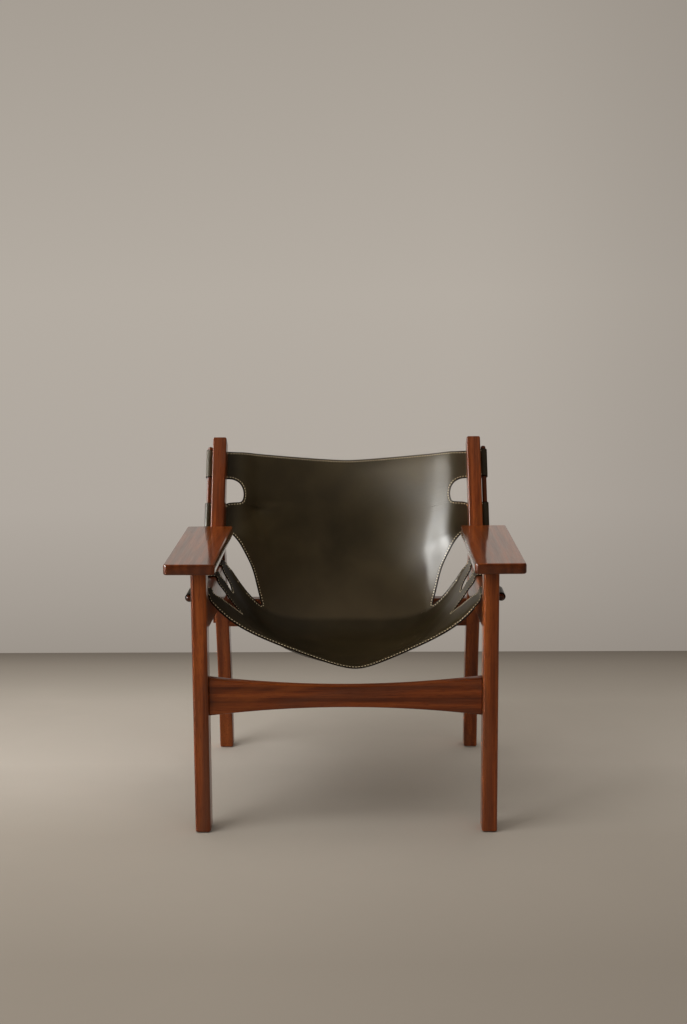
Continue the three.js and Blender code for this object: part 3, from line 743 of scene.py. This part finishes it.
def make_stitches(placed):
    """Short rounded threads on both faces of the leather."""
    points = []
    faces = []
    for spot, run, normal in placed:
        for face in (1, -1):
            up = normal * face
            across = np.cross(up, run)
            base = len(points)
            surface = spot + up * (LEATHER / 2 - GROOVE_DEPTH + STITCH_LIFT)
            for share, width, height in STITCH_RINGS:
                centre = surface + run * share * STITCH_LENGTH + up * height
                for i in range(STITCH_SIDES):
                    angle = 2 * math.pi * i / STITCH_SIDES
                    reach = across * math.cos(angle) * STITCH_WIDE + up * math.sin(angle) * STITCH_FLAT
                    points.append(centre + reach * width * STITCH_RADIUS)
            for r in range(len(STITCH_RINGS) - 1):
                for i in range(STITCH_SIDES):
                    j = (i + 1) % STITCH_SIDES
                    a, b = base + r * STITCH_SIDES, base + (r + 1) * STITCH_SIDES
                    faces.append((a + i, b + i, b + j, a + j))
            faces.append(tuple(base + i for i in range(STITCH_SIDES)))
            last = base + (len(STITCH_RINGS) - 1) * STITCH_SIDES
            faces.append(tuple(last + i for i in reversed(range(STITCH_SIDES))))
    return mesh_object("sling_stitching", place(points), faces)


# Materials

class Nodes:
    """Shader nodes, with short calls to add and join them."""

    def __init__(self, tree):
        self.tree = tree

    def add(self, kind, inputs=(), **settings):
        node = self.tree.nodes.new(kind)
        for key, value in settings.items():
            setattr(node, key, value)
        for key, value in dict(inputs).items():
            self.put(node.inputs[key], value)
        return node

    def put(self, socket, value):
        if isinstance(value, bpy.types.NodeSocket):
            self.tree.links.new(value, socket)
        else:
            socket.default_value = value

    def xyz(self, vector):
        parts = self.add("ShaderNodeSeparateXYZ", {"Vector": vector}).outputs
        return parts["X"], parts["Y"], parts["Z"]

    def noise(self, vector, scale, detail, roughness, distortion=0):
        inputs = {"Vector": vector, "Scale": scale, "Detail": detail, "Roughness": roughness}
        inputs["Distortion"] = distortion
        return self.add("ShaderNodeTexNoise", inputs).outputs["Fac"]

    def ramp(self, value, stops):
        node = self.add("ShaderNodeValToRGB", {"Fac": value})
        elements = node.color_ramp.elements
        while len(elements) < len(stops):
            elements.new(0.5)
        for element, (at, color) in zip(elements, stops):
            element.position = at
            element.color = (*color, 1)
        return node.outputs["Color"]

    def span(self, value, low, high, to_low=0.0, to_high=1.0):
        """The value carried in a straight line from low and high to the other two, and held beyond them."""
        inputs = {"Value": value, "From Min": low, "From Max": high, "To Min": to_low, "To Max": to_high}
        return self.add("ShaderNodeMapRange", inputs, clamp=True).outputs["Result"]

    def step(self, value, low, high):
        """0 below low, 1 above high and smooth between; the other way round where high is less than low."""
        inputs = {"Value": value, "From Min": low, "From Max": high}
        return self.add("ShaderNodeMapRange", inputs, interpolation_type="SMOOTHSTEP").outputs["Result"]

    def mix(self, share, a, b):
        """The colour a where the share is 0 and b where it is 1."""
        a, b = ((*color, 1) if isinstance(color, tuple) else color for color in (a, b))
        return self.add("ShaderNodeMix", {0: share, 6: a, 7: b}, data_type="RGBA").outputs[2]

    def math(self, operation, a, b=0.0):
        return self.add("ShaderNodeMath", {0: a, 1: b}, operation=operation).outputs[0]

    def times(self, a, b):
        return self.math("MULTIPLY", a, b)

    def plus(self, a, b):
        return self.math("ADD", a, b)

    def bump(self, height, strength, distance, normal=None):
        inputs = {"Height": height, "Strength": strength, "Distance": distance}
        if normal is not None:
            inputs["Normal"] = normal
        return self.add("ShaderNodeBump", inputs).outputs["Normal"]


class MaterialNodes(Nodes):
    """A material's nodes, with its shader and the place on the piece."""

    def __init__(self, name):
        self.material = bpy.data.materials.new(name)
        self.material.use_nodes = True
        super().__init__(self.material.node_tree)
        self.shader = self.tree.nodes["Principled BSDF"]
        self.where = self.add("ShaderNodeTexCoord").outputs["Object"]

    def set(self, **values):
        """Values and joined nodes for the shader's inputs."""
        sockets = {socket.name.lower(): socket for socket in self.shader.inputs}
        for key, value in values.items():
            self.put(sockets[key.replace("_", " ")], value)


def rgb(r, g, b):
    """A colour as the photograph shows it, 0 to 255, for a shader."""
    shares = [v / 255 for v in (r, g, b)]
    return tuple(v / 12.92 if v <= 0.04045 else ((v + 0.055) / 1.055) ** 2.4 for v in shares)


def scaled(values, factor):
    return tuple(v * factor for v in values)


# How a piece's grain lies: the turn that brings it to Z, in degrees about X, Y and Z
GRAIN_UP = (0, 0, 0)
GRAIN_Y = (90, 0, 0)
GRAIN_X = (0, 90, 0)
GRAIN_LEAN = (29, 0, 0)
BENT = "bent"
FOOT_SLOPE = 0.29

# The wood's figure: noises drawn out along the grain. Each has the share to which the way along the grain is
# shortened, then its scale, detail, roughness and distortion.
BROAD = (0.16, 15, 2, 0.5, 0.5)
STREAK = (0.04, 170, 4, 0.6, 0.8)
FIBRE = (0.02, 420, 3, 0.6, 0)
PORES = (0.03, 1300, 2, 0.5, 0)
PATCHES = (0.3, 11, 3, 0.55, 1.2)
FLAME_SHARE = 0.05
FLAME = {"Scale": 13, "Distortion": 7, "Detail": 2, "Detail Scale": 1.2, "Detail Roughness": 0.5}
FIGURE_SHARES = (0.36, 0.3, 0.12, 0.22)
FIGURE_SHIFT = (0.37, 0.61, 0.83)
WOOD_TONES = (
    (0.37, rgb(78, 33, 10)),
    (0.47, rgb(108, 49, 16)),
    (0.56, rgb(133, 64, 24)),
    (0.67, rgb(152, 82, 36)),
)
COOLER = rgb(92, 54, 36)
COOLER_SPAN = (0.52, 0.66, 0.0, 0.62)
WARMER = rgb(150, 78, 26)
WARMER_SPAN = (0.48, 0.36, 0.0, 0.4)
PORE_SPAN = (0.34, 0.42)
PORE_TONE = 0.62
PORE_DEPTH_SHARE = 0.5
END_GRAIN_SPAN = (0.6, 0.85)
END_GRAIN_SHARE = 0.55
END_GRAIN_TONE = 0.7
WOOD_ROUGHNESS_SPAN = (0.3, 0.7, 0.3, 0.42)
WOOD_BUMP = (0.06, 0.0003)
WOOD_IOR = 1.5
WOOD_SPECULAR = 0.2
COAT_IOR = 1.35
COAT_ROUGHNESS = 0.07
PLAIN_GLOSS = 0.5


def wood(name, turn, seed, tone, gloss=PLAIN_GLOSS):
    """Lacquered red brown hardwood. turn brings the grain to Z, in degrees about X, Y and Z, or is BENT."""
    n = MaterialNodes(name)
    where = n.where
    if turn == BENT:
        where = unbent(n, where)
        turn = GRAIN_UP
    rotation = [math.radians(v) for v in turn]
    shift = scaled(FIGURE_SHIFT, seed)
    inputs = {"Vector": where, "Rotation": rotation, "Location": shift}
    turned = n.add("ShaderNodeMapping", inputs).outputs["Vector"]

    def stretched(share):
        return n.add("ShaderNodeMapping", {"Vector": turned, "Scale": (1, 1, share)}).outputs["Vector"]

    broad, streak, fibre, pores, patches = (
        n.noise(stretched(share), *noise) for share, *noise in (BROAD, STREAK, FIBRE, PORES, PATCHES)
    )
    flame = n.add("ShaderNodeTexWave", {"Vector": stretched(FLAME_SHARE), **FLAME}).outputs["Fac"]
    layers = [n.times(*layer) for layer in zip((broad, streak, flame, fibre), FIGURE_SHARES)]
    mixed = layers[0]
    for layer in layers[1:]:
        mixed = n.plus(mixed, layer)
    tones = [(at, scaled(color, tone)) for at, color in WOOD_TONES]
    dark, mid = tones[0][1], tones[1][1]
    color = n.ramp(mixed, tones)
    # Broad patches of the wood are a cooler brown, and others a warmer one.
    color = n.mix(n.span(patches, *COOLER_SPAN), color, scaled(COOLER, tone))
    color = n.mix(n.span(patches, *WARMER_SPAN), color, scaled(WARMER, tone))
    pore = n.span(pores, *PORE_SPAN)
    color = n.mix(pore, scaled(mid, PORE_TONE), color)
    inputs = {"Vector": n.add("ShaderNodeTexCoord").outputs["Normal"], "Rotation": rotation}
    facing = n.add("ShaderNodeMapping", inputs, vector_type="NORMAL").outputs["Vector"]
    lengthwise = n.math("ABSOLUTE", n.xyz(facing)[2])
    end_grain = n.mix(END_GRAIN_SHARE, color, scaled(dark, END_GRAIN_TONE))
    height = n.plus(n.times(pore, PORE_DEPTH_SHARE), fibre)
    n.set(
        base_color=n.mix(n.span(lengthwise, *END_GRAIN_SPAN), color, end_grain),
        roughness=n.span(fibre, *WOOD_ROUGHNESS_SPAN),
        normal=n.bump(height, *WOOD_BUMP),
        ior=WOOD_IOR,
        specular_ior_level=WOOD_SPECULAR,
        coat_weight=gloss,
        coat_ior=COAT_IOR,
        coat_roughness=COAT_ROUGHNESS,
    )
    return n.material


def unbent(n, where):
    """A place in a back post as if the post were straight, so that its grain follows the bend."""
    x, y, z = n.xyz(where)
    above = n.math("SUBTRACT", z, KNEE_HEIGHT * MM)
    back = n.times(n.math("MAXIMUM", above, 0.0), math.tan(RECLINE))
    down = n.times(n.math("MINIMUM", above, 0.0), -FOOT_SLOPE)
    straight = n.math("SUBTRACT", y, n.plus(back, down))
    return n.add("ShaderNodeCombineXYZ", {"X": x, "Y": straight, "Z": z}).outputs["Vector"]


# The leather: noises as in the wood but without a share, and spans that carry two values to two others
CLOUD = (9, 4, 0.55, 0.3)
PEBBLE = (900, 3, 0.6)
WRINKLE = (42, 5, 0.55, 1.2)
WRINKLE_SCALE = (1, 2.2, 2.2)
HIDE_GRAIN = {"Scale": 620, "Randomness": 1}
LEATHER_TONES = ((0.3, rgb(39, 32, 17)), (0.5, rgb(49, 40, 22)), (0.72, rgb(59, 49, 28)))
WORN = rgb(80, 64, 40)
WORN_SPAN = (0.58, 0.75, 0.0, 0.2)
GRAIN_HEIGHT_SHARE = 0.7
PEBBLE_HEIGHT_SHARE = 0.5
PEBBLE_SHINE_SHARE = 0.3
FINE_BUMP = (0.12, 0.0005)
WRINKLE_BUMP = (0.07, 0.003)
SHINE_SPAN = (0.4, 0.9, 0.35, 0.46)
LEATHER_IOR = 1.48

# In millimetres past the crease: painted shade darkens the seat, and painted light brightens the lowest part
# of the back.
SEAT_SPAN = (5, -5)
LIT_SPAN = (110, 5)
LIT = rgb(92, 76, 50)
SEAT_SHADE = rgb(22, 16, 9)
LIT_SHARE = 0.3
SEAT_SHADE_SHARE = 0.3

# Next to its painted edge the leather is dark and dull. It is less polished near the top edge and on the
# left of the seat too: between two heights and two places across, in metres, by so much at the most.
RIM = rgb(15, 10, 6)
RIM_SPAN = (0.6, 2.4)
RIM_DULL = 0.5
MATT_SPAN = (0.545, 0.62, 0.0, 0.17)
RUBBED_SPAN = (-0.02, -0.14, 0.0, 0.32)


def leather(name):
    n = MaterialNodes(name)
    cloud = n.noise(n.where, *CLOUD)
    pebble = n.noise(n.where, *PEBBLE)
    grain = n.add("ShaderNodeTexVoronoi", {"Vector": n.where, **HIDE_GRAIN}).outputs["Distance"]
    drawn_out = n.add("ShaderNodeMapping", {"Vector": n.where, "Scale": WRINKLE_SCALE}).outputs["Vector"]
    wrinkles = n.noise(drawn_out, *WRINKLE)
    edge = n.add("ShaderNodeAttribute", attribute_name="edge_mm").outputs["Fac"]
    past_crease = n.add("ShaderNodeAttribute", attribute_name="crease_mm").outputs["Fac"]
    rim = n.span(edge, *RIM_SPAN)
    seat = n.span(past_crease, *SEAT_SPAN)
    lit = n.times(n.span(past_crease, *LIT_SPAN), n.math("SUBTRACT", 1.0, seat))
    color = n.mix(n.span(pebble, *WORN_SPAN), n.ramp(cloud, LEATHER_TONES), WORN)
    # Painted light on the lowest part of the back, then painted shade on the seat
    color = n.mix(n.times(lit, LIT_SHARE), color, LIT)
    color = n.mix(n.times(seat, SEAT_SHADE_SHARE), color, SEAT_SHADE)
    height = n.plus(n.times(grain, GRAIN_HEIGHT_SHARE), n.times(pebble, PEBBLE_HEIGHT_SHARE))
    x, _, z = n.xyz(n.where)
    roughness = n.span(n.plus(cloud, n.times(pebble, PEBBLE_SHINE_SHARE)), *SHINE_SPAN)
    roughness = n.plus(roughness, n.times(n.math("SUBTRACT", 1.0, rim), RIM_DULL))
    roughness = n.plus(roughness, n.span(z, *MATT_SPAN))
    roughness = n.plus(roughness, n.times(seat, n.span(x, *RUBBED_SPAN)))
    n.set(
        base_color=n.mix(rim, RIM, color),
        roughness=roughness,
        normal=n.bump(wrinkles, *WRINKLE_BUMP, n.bump(height, *FINE_BUMP)),
        ior=LEATHER_IOR,
    )
    return n.material


# Plain materials change a little between two colours.
SPECKLE_SPAN = (0.3, 0.7)
PAINT_NOISE = (60, 3, 0.5)
PAINT_COLORS = (rgb(17, 10, 5), rgb(28, 16, 8))
PAINT_ROUGHNESS = 0.6
PAINT_SPECULAR = 0.1
THREAD_NOISE = (1400, 2, 0.5)
THREAD_COLORS = (rgb(226, 204, 160), rgb(252, 238, 206))
THREAD_ROUGHNESS = 0.7
THREAD_BUMP = (0.5, 0.0003)
NYLON_NOISE = (1200, 3, 0.6)
NYLON_COLORS = (rgb(34, 32, 30), rgb(48, 46, 43))
NYLON_ROUGHNESS = (0.5, 0.65)
NYLON_BUMP = (0.2, 0.0002)


def speckled(name, noise, colors):
    """A new material's nodes and the noise between its two colours."""
    n = MaterialNodes(name)
    speckle = n.noise(n.where, *noise)
    n.set(base_color=n.ramp(speckle, list(zip(SPECKLE_SPAN, colors))))
    return n, speckle


def edge_paint(name):
    n, _ = speckled(name, PAINT_NOISE, PAINT_COLORS)
    n.set(roughness=PAINT_ROUGHNESS, specular_ior_level=PAINT_SPECULAR)
    return n.material


def thread(name):
    n, twist = speckled(name, THREAD_NOISE, THREAD_COLORS)
    n.set(roughness=THREAD_ROUGHNESS, normal=n.bump(twist, *THREAD_BUMP))
    return n.material


def nylon(name):
    n, speckle = speckled(name, NYLON_NOISE, NYLON_COLORS)
    n.set(roughness=n.span(speckle, *SPECKLE_SPAN, *NYLON_ROUGHNESS), normal=n.bump(speckle, *NYLON_BUMP))
    return n.material


# The pieces

SHARP_ANGLE = math.radians(40)
WELD_REACH = 2e-5


def smooth_by_angle():
    """A node group that smooths a mesh except at its sharp edges."""
    group = bpy.data.node_groups.new("smooth_by_angle", "GeometryNodeTree")
    for way in ("INPUT", "OUTPUT"):
        group.interface.new_socket("Geometry", in_out=way, socket_type="NodeSocketGeometry")
    add = group.nodes.new
    start = add("NodeGroupInput")
    end = add("NodeGroupOutput")
    angle = add("GeometryNodeInputMeshEdgeAngle")
    compare = add("FunctionNodeCompare")
    compare.operation = "GREATER_THAN"
    compare.inputs[1].default_value = SHARP_ANGLE
    faces = add("GeometryNodeSetShadeSmooth")
    faces.domain = "FACE"
    edges = add("GeometryNodeSetShadeSmooth")
    edges.domain = "EDGE"
    edges.inputs["Shade Smooth"].default_value = False
    link = group.links.new
    link(start.outputs[0], faces.inputs["Geometry"])
    link(faces.outputs[0], edges.inputs["Geometry"])
    link(angle.outputs["Unsigned Angle"], compare.inputs[0])
    link(compare.outputs[0], edges.inputs["Selection"])
    link(edges.outputs[0], end.inputs[0])
    return group


SMOOTHING = smooth_by_angle()


def dress(node, material):
    """A CAD node gets its material, and its rounded edges are shaded as round."""
    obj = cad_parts[node]
    attributes = obj.data.attributes
    if "custom_normal" in attributes:
        attributes.remove(attributes["custom_normal"])
    obj.data.materials.clear()
    obj.data.materials.append(material)
    weld = obj.modifiers.new("weld", "WELD")
    weld.merge_threshold = WELD_REACH
    smoothing = obj.modifiers.new("smooth", "NODES")
    smoothing.node_group = SMOOTHING
    obj.modifiers.new("even", "WEIGHTED_NORMAL").keep_sharp = True


WOOD_PIECES = {
    # node: grain's turn, tone, gloss
    "front_leg": (GRAIN_UP, 1.0, 0.45),
    "back_post": (BENT, 1.0, 0.45),
    "arm": (GRAIN_Y, 0.8, 1.0),
    "side_rail": (GRAIN_Y, 0.95, 0.45),
    "seat_rod": (GRAIN_Y, 0.6, 0.7),
    "back_rod": (GRAIN_LEAN, 0.7, 0.7),
}
STRETCHER_TONE = 0.85
PEG_TONE = 0.55

seed = 1
for stem, (turn, tone, gloss) in WOOD_PIECES.items():
    for side in SIDES:
        name = f"{stem}_{side}"
        dress(name, wood(name, turn, seed, tone, gloss))
        seed += 1
for name in ("front_stretcher", "rear_stretcher"):
    dress(name, wood(name, GRAIN_X, seed, STRETCHER_TONE))
    seed += 1

end_grain = wood("peg_end_grain", GRAIN_X, seed, PEG_TONE)
glide_nylon = nylon("glide_nylon")
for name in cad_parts:
    if "peg" in name or "dowel" in name:
        dress(name, end_grain)
    if "glide" in name:
        dress(name, glide_nylon)

sling, middle_points, middle_faces, rim_runs, rim_tree = make_sling()
sling.data.materials.append(leather("sling_leather"))
sling.data.materials.append(edge_paint("sling_edge"))
stitching = make_stitches(stitch_places(middle_points, middle_faces, rim_runs, rim_tree))
stitching.data.materials.append(thread("sling_thread"))
for obj in (sling, stitching):
    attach(obj, "root")
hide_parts("leather_sling")


# The stage, the lights and the camera

# The floor's tone changes from near to far in painted light and shade, darkest near the wall; painted shade
# darkens it on the right, and it has faint clouds.
FLOOR_FAR_Y = 1.165
FLOOR_NEAR_Y = -6
FLOOR_HALF = 6
FLOOR_TONES_FROM_Y = -0.9
FLOOR_TONES = (
    (0, rgb(150, 143, 134)),
    (0.28, rgb(170, 163, 154)),
    (0.5, rgb(198, 192, 184)),
    (0.75, rgb(184, 178, 170)),
    (0.93, rgb(146, 140, 132)),
    (1, rgb(118, 112, 105)),
)
FLOOR_SHADE = rgb(108, 102, 95)
FLOOR_SHADE_SPAN = (-0.2, 1.1, 0.0, 0.3)
FLOOR_NOISE = (2.6, 6, 0.6, 0.5)
FLOOR_VEIL = rgb(140, 134, 126)
FLOOR_VEIL_SPAN = (0.3, 0.7, 0.0, 0.12)
FLOOR_ROUGHNESS = 0.9

# The wall that the camera sees, by the height of the view, and its shade on the right
WALL_SPAN = (-0.25, 0.16)
WALL_TONES = (
    (0, rgb(152, 144, 135)),
    (0.1, rgb(164, 156, 147)),
    (0.24, rgb(176, 168, 159)),
    (0.56, rgb(180, 172, 162)),
    (1, rgb(166, 158, 148)),
)
WALL_SHADE = rgb(126, 118, 110)
WALL_SHADE_FROM_TO = (0.05, 0.24)
WALL_SHADE_SHARE = 0.35

# What lights the chair from behind, from the front and from the right, and what its gloss shows there
BEHIND_FROM_TO = (-0.35, 0.45)
RIGHT_FROM_TO = (0.3, 0.75)
WALL_LIGHT = rgb(206, 198, 188)
FRONT_LIGHT = rgb(208, 200, 190)
RIGHT_LIGHT = rgb(128, 122, 114)
WALL_SHEEN = rgb(186, 179, 170)
FRONT_SHEEN = rgb(40, 34, 27)
RIGHT_SHEEN = rgb(20, 17, 13)
TOP_SHEEN = rgb(38, 34, 28)
TOP_FROM_TO = (0.24, 0.36)

# The window that glossy surfaces show: its turn from the front at eye height, how much further it turns with
# height, and between which angles and heights its sides, its top and its foot fade
WINDOW_TURN = math.radians(-57)
WINDOW_SLANT = math.radians(-78)
WINDOW_SIDE = (math.radians(22), math.radians(6))
WINDOW_TOP = (0.5, 0.38)
WINDOW_FOOT = (-0.2, 0.0)
WINDOW_GLOW = (40, 40, 39.2)

# Square lamps that point at the chair: place, size, power and colour
CHAIR_MIDDLE = (0, 0, 0.45)
LAMPS = {
    "key": ((-1.7, -1.3, 2.5), 1.5, 33, (1, 0.985, 0.955)),
    "ceiling": ((0, -0.2, 3.2), 3.0, 21, (1, 0.98, 0.95)),
}


def make_floor():
    corners = [
        (-FLOOR_HALF, FLOOR_NEAR_Y, 0),
        (FLOOR_HALF, FLOOR_NEAR_Y, 0),
        (FLOOR_HALF, FLOOR_FAR_Y, 0),
        (-FLOOR_HALF, FLOOR_FAR_Y, 0),
    ]
    obj = mesh_object("floor", corners, [(0, 1, 2, 3)], smooth=False)
    n = MaterialNodes("floor")
    x, y, _ = n.xyz(n.where)
    # Painted light and shade from near to far
    base = n.ramp(n.span(y, FLOOR_TONES_FROM_Y, FLOOR_FAR_Y), FLOOR_TONES)
    # Painted shade on the right
    base = n.mix(n.span(x, *FLOOR_SHADE_SPAN), base, FLOOR_SHADE)
    veil = n.span(n.noise(n.where, *FLOOR_NOISE), *FLOOR_VEIL_SPAN)
    n.set(
        base_color=n.mix(veil, base, FLOOR_VEIL),
        roughness=FLOOR_ROUGHNESS,
        specular_ior_level=0.0,
    )
    obj.data.materials.append(n.material)


def make_world():
    """A plain pale wall behind the chair, dimmer light in front of it and a tall window on the left."""
    world = bpy.data.worlds.new("room")
    bpy.context.scene.world = world
    world.use_nodes = True
    world.node_tree.nodes.clear()
    n = Nodes(world.node_tree)
    x, y, z = n.xyz(n.add("ShaderNodeTexCoord").outputs["Generated"])
    path = n.add("ShaderNodeLightPath").outputs

    wall = n.ramp(n.span(z, *WALL_SPAN), WALL_TONES)
    shaded = n.mix(n.step(x, *WALL_SHADE_FROM_TO), wall, WALL_SHADE)
    seen = n.mix(WALL_SHADE_SHARE, wall, shaded)

    behind = n.step(y, *BEHIND_FROM_TO)
    right = n.step(x, *RIGHT_FROM_TO)
    diffuse = n.mix(right, n.mix(behind, FRONT_LIGHT, WALL_LIGHT), RIGHT_LIGHT)
    above = n.mix(n.step(z, *TOP_FROM_TO), WALL_SHEEN, TOP_SHEEN)
    sheen = n.mix(right, n.mix(behind, FRONT_SHEEN, above), RIGHT_SHEEN)

    turn = n.math("ARCTAN2", x, n.times(y, -1.0))
    centre = n.plus(n.times(n.math("MAXIMUM", z, 0.0), WINDOW_SLANT), WINDOW_TURN)
    off = n.math("ABSOLUTE", n.math("SUBTRACT", turn, centre))
    tall = n.times(n.step(z, *WINDOW_TOP), n.step(z, *WINDOW_FOOT))
    glossy = n.mix(n.times(n.step(off, *WINDOW_SIDE), tall), sheen, WINDOW_GLOW)

    light = n.mix(path["Is Glossy Ray"], diffuse, glossy)
    color = n.mix(path["Is Camera Ray"], light, seen)
    background = n.add("ShaderNodeBackground", {"Color": color})
    n.add("ShaderNodeOutputWorld", {"Surface": background.outputs[0]})


def add_lamp(name, place_at, size, power, color):
    data = bpy.data.lights.new(name, "AREA")
    data.shape = "SQUARE"
    data.size = size
    data.energy = power
    data.color = color
    obj = bpy.data.objects.new(name, data)
    obj.location = place_at
    aim = Vector(CHAIR_MIDDLE) - obj.location
    obj.rotation_euler = aim.to_track_quat("-Z", "Y").to_euler()
    obj.visible_glossy = False
    bpy.context.scene.collection.objects.link(obj)


def add_camera():
    data = bpy.data.cameras.new("camera")
    data.lens = CAMERA_LENS
    camera = bpy.data.objects.new("camera", data)
    turn = Matrix.Identity(4)
    for angle, axis in ((CAMERA_TURN, "Z"), (90 - CAMERA_DOWN, "X"), (CAMERA_ROLL, "Z")):
        turn = turn @ Matrix.Rotation(math.radians(angle), 4, axis)
    camera.matrix_world = Matrix.Translation(CAMERA_PLACE) @ turn
    bpy.context.scene.collection.objects.link(camera)
    bpy.context.scene.camera = camera


make_floor()
make_world()
for name, lamp in LAMPS.items():
    add_lamp(name, *lamp)
add_camera()
bpy.context.scene.view_settings.view_transform = "Standard"
